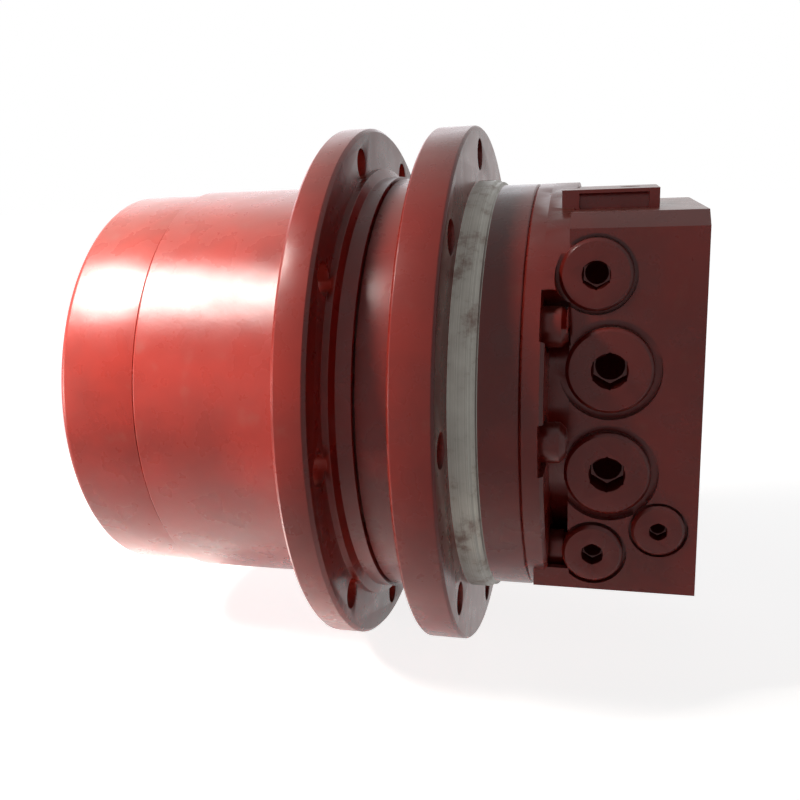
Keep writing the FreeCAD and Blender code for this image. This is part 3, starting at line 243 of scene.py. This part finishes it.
def metal(name, dark, light, roughness, mark_mm, depth_mm, lathe=False):
    """A bare metal whose tool or grinding marks vary its tone and height."""
    material, tree = new_material(name)
    place = lathe_place(tree) if lathe else place_on_object(tree)
    marks = noise(tree, place, mark_mm, 4.0)
    clouds = noise(tree, place_on_object(tree), mark_mm * 14, 4.0)
    base = blend_colours(tree, between(tree, marks, 0.3, 0.7, 0.0, 1.0), linear(dark), linear(light))
    shader = add_node(tree, "ShaderNodeBsdfPrincipled",
                      {"Base Color": base, "Metallic": 1.0,
                       "Roughness": between(tree, clouds, 0.3, 0.7, roughness - 0.06, roughness + 0.1),
                       "Normal": bumps(tree, marks, depth_mm)})
    close_material(tree, shader)
    return material


def moulded_rubber():
    """Moulded nitrile rubber: near black, with a dull bloom."""
    material, tree = new_material("moulded_nitrile_rubber")
    place = place_on_object(tree)
    bloom = noise(tree, place, 5.0, 5.0)
    base = blend_colours(tree, bloom, linear("#151515"), linear("#2a2a29"))
    shader = add_node(tree, "ShaderNodeBsdfPrincipled",
                      {"Base Color": base, "Roughness": between(tree, bloom, 0.3, 0.7, 0.5, 0.72),
                       "Normal": bumps(tree, noise(tree, place, 0.6, 2.0), 0.02)})
    close_material(tree, shader)
    return material


def sintered_lining():
    """Sintered friction facing: brown, porous and matt."""
    material, tree = new_material("sintered_friction_lining")
    place = place_on_object(tree)
    pores = noise(tree, place, 0.7, 6.0, 0.75)
    base = blend_colours(tree, between(tree, pores, 0.35, 0.65, 0.0, 1.0), linear("#33281d"),
                         linear("#6b5238"))
    shader = add_node(tree, "ShaderNodeBsdfPrincipled",
                      {"Base Color": base, "Metallic": 0.2, "Roughness": 0.8,
                       "Normal": bumps(tree, pores, 0.08)})
    close_material(tree, shader)
    return material


def slot_finishes():
    """The finish of every inner piece, by the record's material slot."""
    return {
        # ground tooth flanks: fine marks, bright
        "gear_steel": metal("ground_gear_steel", "#7d7c78", "#a5a39e", 0.3, 0.5, 0.01),
        # turned and oiled: rings about the axis, darker
        "forged_steel": metal("turned_forged_steel", "#6a6864", "#8b8984", 0.38, 0.6, 0.015, True),
        # honed races and rollers: almost a mirror
        "bearing_steel": metal("honed_bearing_steel", "#a9a9a8", "#c4c4c3", 0.16, 1.5, 0.003),
        # lapped chilled iron: dull grey with a fine grain
        "seal_iron": metal("lapped_chilled_iron", "#5f5d5a", "#7c7a76", 0.34, 0.8, 0.008, True),
        "black_rubber": moulded_rubber(),
        # turned bronze: warm, with tool rings
        "bronze": metal("turned_bronze", "#9a6f35", "#c0924f", 0.3, 0.6, 0.012),
        # blued spring steel: dark with a cold sheen
        "spring_steel": metal("blued_spring_steel", "#3c4048", "#5a5f68", 0.32, 1.0, 0.006),
        "brake_lining": sintered_lining(),
    }


# ---------------------------------------------------------------- modelling helpers

def only(*things):
    """Leaves object mode and selects these objects alone; the first is the active one."""
    if bpy.context.object is not None and bpy.context.object.mode != "OBJECT":
        bpy.ops.object.mode_set(mode="OBJECT")
    bpy.ops.object.select_all(action="DESELECT")
    for thing in things:
        thing.select_set(True)
    bpy.context.view_layer.objects.active = things[0]


def named(name):
    """Gives the newest primitive its name."""
    thing = bpy.context.object
    thing.name = name
    thing.data.name = name
    return thing


def edit(thing, *steps):
    """Runs edit-mode steps with everything selected before the first."""
    only(thing)
    bpy.ops.object.mode_set(mode="EDIT")
    bpy.ops.mesh.select_all(action="SELECT")
    for step in steps:
        step()
    bpy.ops.object.mode_set(mode="OBJECT")


def pick(thing, kind, wanted):
    """Selects the faces or edges for which wanted(item) is true, in edit mode."""
    mesh = bmesh.from_edit_mesh(thing.data)
    bpy.ops.mesh.select_all(action="DESELECT")
    bpy.context.tool_settings.mesh_select_mode = (False, kind == "edges", kind == "faces")
    for item in getattr(mesh, kind):
        item.select_set(bool(wanted(item)))
    mesh.select_flush_mode()
    bmesh.update_edit_mesh(thing.data)


def apply(thing, kind, **settings):
    """Adds a modifier and applies it."""
    only(thing)
    modifier = thing.modifiers.new(kind.lower(), kind)
    for name, value in settings.items():
        setattr(modifier, name, value)
    bpy.ops.object.modifier_apply(modifier=modifier.name)


def subtract(thing, *tools):
    for tool in tools:
        apply(thing, "BOOLEAN", operation="DIFFERENCE", solver="EXACT", object=tool)
        bpy.data.objects.remove(tool)


def unite(thing, *others):
    for other in others:
        apply(thing, "BOOLEAN", operation="UNION", solver="EXACT", object=other)
        bpy.data.objects.remove(other)


TO_AXIS = {
    "+x": Matrix.Rotation(math.radians(90), 4, "Y"),
    "-x": Matrix.Rotation(math.radians(-90), 4, "Y"),
    "+y": Matrix.Rotation(math.radians(-90), 4, "X"),
    "-y": Matrix.Rotation(math.radians(90), 4, "X"),
    "+z": Matrix.Identity(4),
}


def settle(thing, spot, towards):
    """Turns a piece built along +Z to its direction, moves it there and applies its place."""
    thing.matrix_world = Matrix.Translation(spot) @ TO_AXIS[towards]
    only(thing)
    bpy.ops.object.transform_apply(location=True, rotation=True, scale=True)


def disc(name, radius, start, end, sides=96):
    """A cylinder along Z between two heights."""
    bpy.ops.mesh.primitive_cylinder_add(vertices=sides, radius=radius, depth=end - start,
                                        location=(0, 0, (start + end) / 2))
    made = named(name)
    only(made)
    bpy.ops.object.transform_apply(location=True, rotation=False, scale=False)
    return made


def cuboid(name, low, high):
    """A box between two corners."""
    low, high = Vector(low), Vector(high)
    bpy.ops.mesh.primitive_cube_add(size=1, location=(low + high) / 2)
    made = named(name)
    made.scale = high - low
    only(made)
    bpy.ops.object.transform_apply(location=True, rotation=True, scale=True)
    return made


def smooth(thing, angle=32.0):
    only(thing)
    bpy.ops.object.shade_smooth_by_angle(angle=math.radians(angle))


def soften(thing, width, segments=3, angle=35.0):
    """Rounds every edge that is sharper than the angle."""
    apply(thing, "BEVEL", width=width, segments=segments, limit_method="ANGLE",
          angle_limit=math.radians(angle), use_clamp_overlap=True, harden_normals=False)
    smooth(thing)


def dress(thing, body, slot, replaced, *materials):
    """Gives a finished piece its materials and puts it in place of CAD nodes."""
    thing.data.materials.clear()
    for material in materials:
        thing.data.materials.append(material)
    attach(thing, body)
    if replaced:
        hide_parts(*replaced)


def islands(node):
    """The box of every separate solid in a CAD node, lowest X, Y and Z first."""
    mesh = bmesh.new()
    mesh.from_mesh(frame["nodes"][node].data)
    bmesh.ops.remove_doubles(mesh, verts=mesh.verts, dist=MM * 0.001)
    left = set(mesh.verts)
    found = []
    while left:
        group, edge_of_search = set(), [left.pop()]
        while edge_of_search:
            vertex = edge_of_search.pop()
            group.add(vertex)
            for edge in vertex.link_edges:
                other = edge.other_vert(vertex)
                if other in left:
                    left.remove(other)
                    edge_of_search.append(other)
        low = Vector([min(vertex.co[axis] for vertex in group) for axis in range(3)])
        high = Vector([max(vertex.co[axis] for vertex in group) for axis in range(3)])
        found.append((low, high))
    mesh.free()
    return sorted(found, key=lambda box: tuple(box[0]))


def rounded(corners, steps=5):
    """An outline whose corners (x, radius, round) are replaced by tangent arcs."""
    points = []
    for index, (x, y, size) in enumerate(corners):
        here = Vector((x, y))
        if size <= 0 or index in (0, len(corners) - 1):
            points.append(here)
            continue
        before = Vector(corners[index - 1][:2]) - here
        after = Vector(corners[index + 1][:2]) - here
        half = before.angle(after) / 2
        reach = min(size / math.tan(half), before.length * 0.49, after.length * 0.49)
        radius = reach * math.tan(half)
        centre = here + (before.normalized() + after.normalized()).normalized() * (
            radius / math.sin(half))
        first = here + before.normalized() * reach - centre
        last = here + after.normalized() * reach - centre
        sweep = first.angle_signed(last)
        for step in range(steps + 1):
            turn = Matrix.Rotation(-sweep * step / steps, 2)
            points.append(centre + turn @ first)
    return points


def spun(name, points, steps=160):
    """A closed piece turned about X from (x, radius) points, drawn by extruding one vertex."""
    bpy.ops.mesh.primitive_plane_add(size=MM)
    made = named(name)
    only(made)
    bpy.ops.object.mode_set(mode="EDIT")
    bpy.ops.mesh.select_all(action="SELECT")
    bpy.ops.mesh.merge(type="CENTER")
    bpy.ops.transform.translate(value=(points[0].x, 0, points[0].y))
    for start, end in zip(points, points[1:]):
        step = end - start
        bpy.ops.mesh.extrude_region_move(TRANSFORM_OT_translate={"value": (step.x, 0, step.y)})
    bpy.ops.mesh.select_all(action="SELECT")
    bpy.ops.mesh.spin(steps=steps, angle=math.tau, center=(0, 0, 0), axis=(1, 0, 0))
    bpy.ops.mesh.select_all(action="SELECT")
    bpy.ops.mesh.remove_doubles(threshold=MM * 0.002)
    bpy.ops.mesh.normals_make_consistent(inside=False)
    bpy.ops.object.mode_set(mode="OBJECT")
    return made


def casting(name, node, rim, width, keep_inside, added=(), removed=()):
    """A merged copy of a CAD node, with pieces added and removed and its outer edges rounded.

    Edges nearer to the axis than keep_inside stay sharp, as machined bores and teeth are.
    """
    made = bpy.data.objects.new(name, frame["nodes"][node].data.copy())
    made.data.name = name
    bpy.context.scene.collection.objects.link(made)
    only(made)
    bpy.ops.mesh.customdata_custom_splitnormals_clear()
    edit(made,
         lambda: bpy.ops.mesh.remove_doubles(threshold=MM * 0.001),
         lambda: bpy.ops.mesh.dissolve_limited(angle_limit=math.radians(0.6)))
    unite(made, *added)
    subtract(made, *removed)
    made.data.attributes.new("bevel_weight_edge", "FLOAT", "EDGE")
    mesh = bmesh.new()
    mesh.from_mesh(made.data)
    layer = mesh.edges.layers.float["bevel_weight_edge"]
    for edge in mesh.edges:
        middle = (edge.verts[0].co + edge.verts[1].co) / 2
        outer = math.hypot(middle.y, middle.z) > keep_inside
        if outer and edge.is_manifold and edge.calc_face_angle() > math.radians(rim):
            edge[layer] = 1.0
    mesh.to_mesh(made.data)
    mesh.free()
    apply(made, "BEVEL", width=width, segments=3, limit_method="WEIGHT", use_clamp_overlap=True,
          harden_normals=False)
    smooth(made)
    return made


# an edge of a casting that turns by more than this is rounded, outside the machined bores
RIM_ANGLE = 40
BORES = 88 * MM


# ---------------------------------------------------------------- settings

class PaintSettings(bpy.types.PropertyGroup):
    colour: FloatVectorProperty(
        name="Enamel", description="Colour of the red-oxide enamel", subtype="COLOR", size=3,
        min=0.0, max=1.0, default=linear("#952a20"))
    thin_colour: FloatVectorProperty(
        name="Thin enamel", description="Colour where the enamel is thin or chalky",
        subtype="COLOR", size=3, min=0.0, max=1.0, default=linear("#7d251d"))
    roughness: FloatProperty(
        name="Roughness", description="Roughness of clean enamel", default=0.27, min=0.06, max=0.8)
    patch_size: FloatProperty(
        name="Patch size", description="Size of the tone patches, in millimetres", default=38.0,
        min=5.0, max=200.0)
    peel_size: FloatProperty(
        name="Orange peel", description="Spacing of the orange peel, in millimetres; drawn a "
        "little coarse so that it shows", default=1.6, min=0.3, max=5.0)


class CastingSettings(bpy.types.PropertyGroup):
    edge: FloatProperty(
        name="Casting edge", description="Round on the outer edges of the castings", unit="LENGTH",
        default=0.9 * MM, min=0.0, max=3 * MM)
    machined_edge: FloatProperty(
        name="Machined edge", description="Round on plugs and screws", unit="LENGTH",
        default=0.35 * MM, min=0.0, max=1 * MM)


class ViewSettings(bpy.types.PropertyGroup):
    aim: FloatVectorProperty(
        name="Aim", description="Point on the turning axis that the camera stands behind",
        subtype="XYZ", unit="LENGTH", size=3, default=(-0.042, 0.0, -0.0091))
    distance: FloatProperty(
        name="Distance", description="From the aim to the camera", unit="LENGTH", default=0.4406,
        min=0.1)
    azimuth: FloatProperty(
        name="Azimuth", description="0 looks along +Y", subtype="ANGLE", unit="ROTATION",
        default=math.radians(14.37))
    elevation: FloatProperty(
        name="Elevation", description="Height of the camera above the horizon", subtype="ANGLE",
        unit="ROTATION", default=math.radians(14.38))
    roll: FloatProperty(
        name="Roll", description="Turn of the picture about its middle", subtype="ANGLE",
        unit="ROTATION", default=math.radians(-2.355))
    lens: FloatProperty(
        name="Lens", description="Focal length in millimetres on a 36 mm sensor", default=40.03,
        min=10.0)


# ---------------------------------------------------------------- stage

def aim_lamp(name, spot, target, size, watts, colour, beam=180.0):
    """An area lamp; beam is the width of its light in degrees, as a grid in front limits it."""
    bpy.ops.object.light_add(type="AREA", location=spot)
    lamp = bpy.context.object
    lamp.name = name
    lamp.data.shape = "RECTANGLE"
    lamp.data.size, lamp.data.size_y = size
    lamp.data.energy = watts
    lamp.data.color = linear(colour)
    lamp.data.spread = math.radians(beam)
    lamp.rotation_euler = (Vector(target) - Vector(spot)).to_track_quat("-Z", "Y").to_euler()
    return lamp


class FINALDRIVE_OT_stage(bpy.types.Operator):
    """Sets the camera, the pale floor, the studio lamps and the world"""
    bl_idname = "finaldrive.stage"
    bl_label = "Stage"

    def execute(self, context):
        view = context.scene.final_drive_view
        turn = (Matrix.Rotation(view.azimuth, 4, "Z")
                @ Matrix.Rotation(math.radians(90) - view.elevation, 4, "X"))
        back = turn.to_3x3() @ Vector((0, 0, 1))
        bpy.ops.object.camera_add()
        camera = named("camera")
        camera.matrix_world = (Matrix.Translation(Vector(view.aim) + back * view.distance) @ turn
                               @ Matrix.Rotation(view.roll, 4, "Z"))
        camera.data.lens = view.lens
        camera.data.sensor_width = 36.0
        camera.data.clip_start = 0.01
        context.scene.camera = camera

        low, high = CAD_BOX
        floor_gap = 0.2 * MM
        bpy.ops.mesh.primitive_plane_add(size=12, location=(0, 0, low.z - floor_gap))
        floor = named("floor")
        only(floor)
        bpy.ops.object.transform_apply(location=True, rotation=True, scale=True)
        floor.data.materials.append(self.paper())

        middle = (low + high) / 2
        drum = (-0.24, -0.03, 0.02)
        aim_lamp("key_softbox", (-0.46, -0.20, 0.42), drum, (0.30, 0.24), 1.5, "#fff8f2", 42)
        aim_lamp("left_window", (-0.95, -0.36, 0.02), drum, (0.4, 0.5), 0.4, "#fff4ee", 32)
        aim_lamp("rear_fill", (-0.45, 0.95, 0.35), middle, (0.9, 0.9), 2.5, "#f2f6ff")
        self.world(context.scene)
        context.scene.view_settings.view_transform = "Standard"
        return {"FINISHED"}

    def seen_directly(self, tree):
        """1 for what the camera sees, also in polished metal; 0 for light on the object."""
        ray = add_node(tree, "ShaderNodeLightPath")
        mirror = add_node(tree, "ShaderNodeMath", {0: ray.outputs["Is Glossy Ray"],
                                                   1: ray.outputs["Is Transmission Ray"]},
                          operation="MAXIMUM")
        return add_node(tree, "ShaderNodeMath", {0: ray.outputs["Is Camera Ray"],
                                                 1: mirror.outputs[0]},
                        operation="MAXIMUM").outputs[0]

    def paper(self):
        """White paper that glows white for the camera and keeps the shadow; its glow dims towards the
        object, a painted shade around it.
        """
        material, tree = new_material("white_paper")
        place = place_on_object(tree)
        seen = self.seen_directly(tree)
        fibres = noise(tree, place, 4.0)
        tone = blend_colours(tree, fibres, linear("#c9c9c7"), linear("#d3d3d1"))
        diffuse = add_node(tree, "ShaderNodeBsdfDiffuse", {"Color": tone})
        away = add_node(tree, "ShaderNodeVectorMath", {0: place}, operation="LENGTH")
        # glow at 0.84 near the middle rising to 1 far out: painted shade around the object
        glow_dimmed_near_object = between(tree, away.outputs["Value"], 0.2, 0.8, 0.84, 1.0)
        strength = add_node(tree, "ShaderNodeMath", {0: glow_dimmed_near_object, 1: seen}, operation="MULTIPLY")
        glow = add_node(tree, "ShaderNodeEmission",
                        {"Color": (1, 1, 1, 1), "Strength": strength.outputs[0]})
        shown = add_node(tree, "ShaderNodeAddShader", {0: diffuse.outputs[0], 1: glow.outputs[0]})
        close_material(tree, shown)
        return material

    def world(self, scene):
        """Dim, even studio light; the camera and polished metal see plain white."""
        world = bpy.data.worlds.new("studio")
        scene.world = world
        world.use_nodes = True
        tree = world.node_tree
        tree.nodes.clear()
        light = add_node(tree, "ShaderNodeBackground", {"Color": (1, 1, 1, 1), "Strength": 0.045})
        white = add_node(tree, "ShaderNodeBackground", {"Color": (1, 1, 1, 1), "Strength": 1.0})
        shown = add_node(tree, "ShaderNodeMixShader",
                         {"Fac": self.seen_directly(tree), 1: light.outputs[0],
                          2: white.outputs[0]})
        add_node(tree, "ShaderNodeOutputWorld", {"Surface": shown.outputs[0]})


# ---------------------------------------------------------------- finishes operator

class FINALDRIVE_OT_finishes(bpy.types.Operator):
    """Gives every carried-over piece the finish of its material slot"""
    bl_idname = "finaldrive.finishes"
    bl_label = "Inner finishes"

    def execute(self, context):
        paint = context.scene.final_drive_paint
        finishes = slot_finishes()
        finishes["red_enamel"] = red_oxide_enamel(paint)
        socket_shade_enamel(paint)
        turned_iron()
        for part in frame["record"]["subparts"]:
            thing = frame["nodes"][part["node"]]
            for slot in thing.material_slots:
                slot.material = finishes[part["material_slot"]]
        return {"FINISHED"}


def finish_named(name):
    return bpy.data.materials[name]


# ---------------------------------------------------------------- hub

class FINALDRIVE_OT_end_cover(bpy.types.Operator):
    """Spins the end cover and sinks its three plug seats"""
    bl_idname = "finaldrive.end_cover"
    bl_label = "End cover"

    def execute(self, context):
        low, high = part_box("end_cover")
        left, seam, radius = low.x, high.x, high.z
        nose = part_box("sun_thrust_pad")[0].x
        inside = nose - 0.05 * MM
        hollow = inside - 3 * MM
        wall = radius - 5 * MM
        spigot = wall + 0.05 * MM
        land = seam - 14.9 * MM
        dish = left + 1.2 * MM
        chamfer = 0.8 * MM
        cover = spun("end_cover_casting", rounded([
            (left, 0, 0), (left, 16 * MM, 0.8 * MM), (dish, 20 * MM, 1.5 * MM),
            (dish, 42 * MM, 1.5 * MM), (left, 46 * MM, 0.8 * MM), (left, radius, 3.2 * MM),
            (seam - chamfer, radius, 0.3 * MM), (seam, radius - chamfer, 0.2 * MM),
            (seam, spigot, 0), (land, spigot, 0), (land, wall - 5 * MM, 1 * MM),
            (hollow, wall - 9 * MM, 2 * MM), (hollow, 10 * MM, 0), (inside, 9 * MM, 0),
            (inside, 0, 0)]))
        for plug_low, plug_high in islands("cover_plugs"):
            centre = (plug_low + plug_high) / 2
            head = (plug_high.z - plug_low.z) / 2
            seat = disc("seat_tool", head + 1.5 * MM, -1 * MM, 5 * MM)
            settle(seat, (left, centre.y, centre.z), "+x")
            bore = disc("bore_tool", head - 1.5 * MM, 0, 30 * MM, 64)
            settle(bore, (left, centre.y, centre.z), "+x")
            subtract(cover, seat, bore)
        soften(cover, 0.4 * MM, 2, 40)
        dress(cover, "hub", "red_enamel", ["end_cover"], finish_named("red_oxide_enamel"))
        return {"FINISHED"}


def socket_plug(name, head, head_length, thread, thread_length, across, depth, edge):
    """A plug along +Z with its seat at the origin: chamfered head, socket with a drilled bottom."""
    plug = disc(name, head, 0, head_length)
    chamfer = head_length * 0.24

    def crown():
        pick(plug, "faces", lambda face: face.normal.z > 0.9)
        bpy.ops.mesh.inset(thickness=chamfer, depth=0)

    edit(plug, crown)

    def bend():
        pick(plug, "edges", lambda e: all(
            v.co.z > head_length - MM * 0.01 and v.co.to_2d().length > head - MM * 0.01
            for v in e.verts))
        bpy.ops.transform.translate(value=(0, 0, -chamfer))

    edit(plug, bend)
    unite(plug, disc("thread", thread, -thread_length, 0.5 * MM, 64))
    hexagon = disc("hexagon", across / math.sqrt(3), head_length - depth, head_length + 2 * MM, 6)
    slope = across * 0.22
    bpy.ops.mesh.primitive_cone_add(vertices=48, radius1=0, radius2=across * 0.47, depth=slope,
                                    location=(0, 0, head_length - depth - across * 0.1))
    drill = named("drill")
    bpy.ops.mesh.primitive_cone_add(vertices=96, radius1=across * 0.44, radius2=across * 0.66,
                                    depth=slope, location=(0, 0, head_length))
    mouth = named("mouth")
    subtract(plug, hexagon, drill, mouth)
    soften(plug, edge, 2, 28)
    return plug


def darken_socket(plug, radius, centre, axis):
    """Gives the faces inside the socket the second material, the shaded enamel that paints shade
    there.
    """
    across = [number for number in range(3) if number != axis]
    for face in plug.data.polygons:
        middle = Vector([face.center[number] - centre[number] for number in across])
        if middle.length < radius and abs(face.normal[axis]) < 0.95:
            face.material_index = 1


class FINALDRIVE_OT_cover_plugs(bpy.types.Operator):
    """Models the three socket plugs of the end cover"""
    bl_idname = "finaldrive.cover_plugs"
    bl_label = "Cover plugs"

    def execute(self, context):
        casting_settings = context.scene.final_drive_casting
        made = []
        for index, (low, high) in enumerate(islands("cover_plugs"), start=1):
            centre = (low + high) / 2
            head = (high.z - low.z) / 2
            head_length, across = 4.5 * MM, 8 * MM
            plug = socket_plug("cover_plug_%d" % index, head, head_length, head - 1.6 * MM,
                               high.x - low.x - head_length, across, 6 * MM,
                               casting_settings.machined_edge)
            settle(plug, (low.x + head_length, centre.y, centre.z), "-x")
            made.append(plug)
        only(*made)
        bpy.ops.object.join()
        group = named("cover_plug_set")
        dress(group, "hub", "red_enamel", ["cover_plugs"], finish_named("red_oxide_enamel"))
        return {"FINISHED"}


class FINALDRIVE_OT_hub(bpy.types.Operator):
    """Rounds the outer edges of the hub casting"""
    bl_idname = "finaldrive.hub"
    bl_label = "Hub casting"

    def execute(self, context):
        edge = context.scene.final_drive_casting.edge
        hub = casting("hub_casting", "hub_drum", RIM_ANGLE, edge, BORES)
        dress(hub, "hub", "red_enamel", ["hub_drum"], finish_named("red_oxide_enamel"))
        return {"FINISHED"}


# ---------------------------------------------------------------- motor housing

class FINALDRIVE_OT_housing(bpy.types.Operator):
    """Rounds the motor housing's outer edges and leaves its pilot bare"""
    bl_idname = "finaldrive.housing"
    bl_label = "Motor housing"

    def execute(self, context):
        edge = context.scene.final_drive_casting.edge
        housing = casting("motor_housing_casting", "motor_housing", RIM_ANGLE, edge, BORES)
        dress(housing, "housing", "red_enamel", ["motor_housing"], finish_named("red_oxide_enamel"),
              finish_named("turned_cast_iron"))
        pilot_start, pilot_end, pilot_floor = 0.2 * MM, 11.3 * MM, 90 * MM
        bore_end, bore_radius = -30 * MM, 62 * MM
        for face in housing.data.polygons:
            middle = face.center
            out = math.hypot(middle.y, middle.z)
            pilot = pilot_start < middle.x < pilot_end and out > pilot_floor
            inner_bore = middle.x < bore_end and out < bore_radius
            if pilot or inner_bore:
                face.material_index = 1
        return {"FINISHED"}


# ---------------------------------------------------------------- valve block

class FINALDRIVE_OT_valve_block(bpy.types.Operator):
    """Closes the groove above and below the cap screws and opens their pockets"""
    bl_idname = "finaldrive.valve_block"
    bl_label = "Valve block"

    screw_seat = 34 * MM
    screw_circle = 80 * MM
    pocket_radius = 10.4 * MM
    block_left = 44 * MM
    plug_spot = (54.1 * MM, 0, 59.6 * MM)

    def execute(self, context):
        edge = context.scene.final_drive_casting.edge
        bores = 20 * MM
        block = casting("valve_block_casting", "valve_block", RIM_ANGLE, edge * 0.8, bores,
                        [self.shoulder(), self.foot()], self.pockets())
        dress(block, "housing", "red_enamel", ["valve_block"], finish_named("red_oxide_enamel"))
        return {"FINISHED"}

    def shoulder(self):
        """The round flange's upper part, which runs on to the block."""
        flange_radius, groove_top, away = 92.6 * MM, 40 * MM, 120 * MM
        made = disc("shoulder", flange_radius, 0, 10.2 * MM, 160)
        settle(made, (self.screw_seat, 0, 0), "+x")
        subtract(made, cuboid("below", (0, -away, -away), (60 * MM, away, groove_top)))
        return made

    def foot(self):
        """The block's lower edge, which reaches under the round flange."""
        half, bottom, groove_bottom = 67.4 * MM, -70.5 * MM, -62 * MM
        return cuboid("foot", (30 * MM, -half, bottom),
                      (self.block_left + 0.5 * MM, half, groove_bottom))

    def pockets(self):
        """Seats of the cap screws, open to the rim at the sides; one seat for the upper plug."""
        made = []
        beyond_rim = 108 * MM
        head_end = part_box("valve_block_screws")[1].x
        for angle, opened in ((20, False), (60, True), (92.5, True), (137, False)):
            for side in (-1, 1):
                tool = disc("pocket", self.pocket_radius, 0, 10 * MM, 48)
                settle(tool, (self.screw_seat, 0, self.screw_circle), "+x")
                if opened:
                    unite(tool, cuboid(
                        "mouth", (self.screw_seat, -self.pocket_radius, self.screw_circle),
                        (head_end, self.pocket_radius, beyond_rim)))
                only(tool)
                tool.rotation_euler = (math.radians(side * angle), 0, 0)
                bpy.ops.object.transform_apply(location=True, rotation=True, scale=True)
                made.append(tool)
        seat = disc("plug_seat", 15.5 * MM, 63.4 * MM, 90 * MM)
        settle(seat, self.plug_spot, "-y")
        made.append(seat)
        return made


class FINALDRIVE_OT_port_plugs(bpy.types.Operator):
    """Models the socket plugs in the front and back of the valve block"""
    bl_idname = "finaldrive.port_plugs"
    bl_label = "Port plugs"

    def execute(self, context):
        edge = context.scene.final_drive_casting.machined_edge
        head_length = 5.5 * MM
        large_head = 15 * MM
        # key size for each head, in millimetres
        across_of_head = {28: 10, 24: 8, 21: 6.5, 34: 13}
        for node in ("speed_valve_plug", "gauge_port_plugs", "spool_end_caps", "relief_valve_plugs"):
            made = []
            for index, (low, high) in enumerate(islands(node), start=1):
                centre = (low + high) / 2
                head = (high.x - low.x) / 2
                across = across_of_head[round(head * 2 / MM)] * MM
                length = high.y - low.y
                side = "-y" if centre.y < 0 else "+y"
                seat = low.y + head_length if centre.y < 0 else high.y - head_length
                thread = head - (3 if head < large_head else 2.5) * MM
                plug = socket_plug("%s_%d" % (node, index), head, head_length, thread,
                                   length - head_length, across, across * 0.85, edge)
                settle(plug, (centre.x, seat, centre.z), side)
                plug.data.materials.append(finish_named("red_oxide_enamel"))
                plug.data.materials.append(finish_named("shaded_red_enamel"))
                # the socket walls take the shaded enamel: painted shade in the recess
                darken_socket(plug, across * 0.6, centre, 1)
                made.append(plug)
            only(*made)
            if len(made) > 1:
                bpy.ops.object.join()
            group = named(node + "_set")
            indices = [face.material_index for face in group.data.polygons]
            dress(group, "housing", "red_enamel", [node], finish_named("red_oxide_enamel"),
                  finish_named("shaded_red_enamel"))
            group.data.polygons.foreach_set("material_index", indices)
        return {"FINISHED"}


class FINALDRIVE_OT_cap_screws(bpy.types.Operator):
    """Models the cap screws that hold the valve block to the housing"""
    bl_idname = "finaldrive.cap_screws"
    bl_label = "Cap screws"

    def execute(self, context):
        edge = context.scene.final_drive_casting.machined_edge
        made = []
        for index, (low, high) in enumerate(islands("valve_block_screws"), start=1):
            centre = (low + high) / 2
            head = (high.z - low.z) / 2
            head_length = 10 * MM
            screw = socket_plug("cap_screw_%d" % index, head, head_length, head * 0.62,
                                high.x - low.x - head_length, 8 * MM, 5 * MM, edge)
            settle(screw, (high.x - head_length, centre.y, centre.z), "+x")
            made.append(screw)
        only(*made)
        bpy.ops.object.join()
        group = named("cap_screw_set")
        dress(group, "housing", "red_enamel", ["valve_block_screws"],
              finish_named("red_oxide_enamel"))
        return {"FINISHED"}


# ---------------------------------------------------------------- add-on

OPERATORS = (
    FINALDRIVE_OT_stage, FINALDRIVE_OT_finishes, FINALDRIVE_OT_end_cover,
    FINALDRIVE_OT_cover_plugs, FINALDRIVE_OT_hub, FINALDRIVE_OT_housing,
    FINALDRIVE_OT_valve_block, FINALDRIVE_OT_port_plugs, FINALDRIVE_OT_cap_screws,
)
SETTINGS = {
    "final_drive_paint": PaintSettings,
    "final_drive_casting": CastingSettings,
    "final_drive_view": ViewSettings,
}


class FINALDRIVE_PT_panel(bpy.types.Panel):
    """Settings and steps of the final drive"""
    bl_label = "Final drive"
    bl_idname = "FINALDRIVE_PT_panel"
    bl_space_type = "VIEW_3D"
    bl_region_type = "UI"
    bl_category = "Final drive"

    def draw(self, context):
        for name, group in SETTINGS.items():
            box = self.layout.box()
            for setting in group.__annotations__:
                box.prop(getattr(context.scene, name), setting)
        for operator in OPERATORS:
            self.layout.operator(operator.bl_idname)


def register():
    for made in (*SETTINGS.values(), *OPERATORS, FINALDRIVE_PT_panel):
        bpy.utils.register_class(made)
    for name, group in SETTINGS.items():
        setattr(bpy.types.Scene, name, PointerProperty(type=group))


def unregister():
    for name in SETTINGS:
        delattr(bpy.types.Scene, name)
    for made in reversed((*SETTINGS.values(), *OPERATORS, FINALDRIVE_PT_panel)):
        bpy.utils.unregister_class(made)


def main():
    register()
    for operator in OPERATORS:
        getattr(bpy.ops.finaldrive, operator.bl_idname.split(".")[1])()


if __name__ == "__main__":
    main()
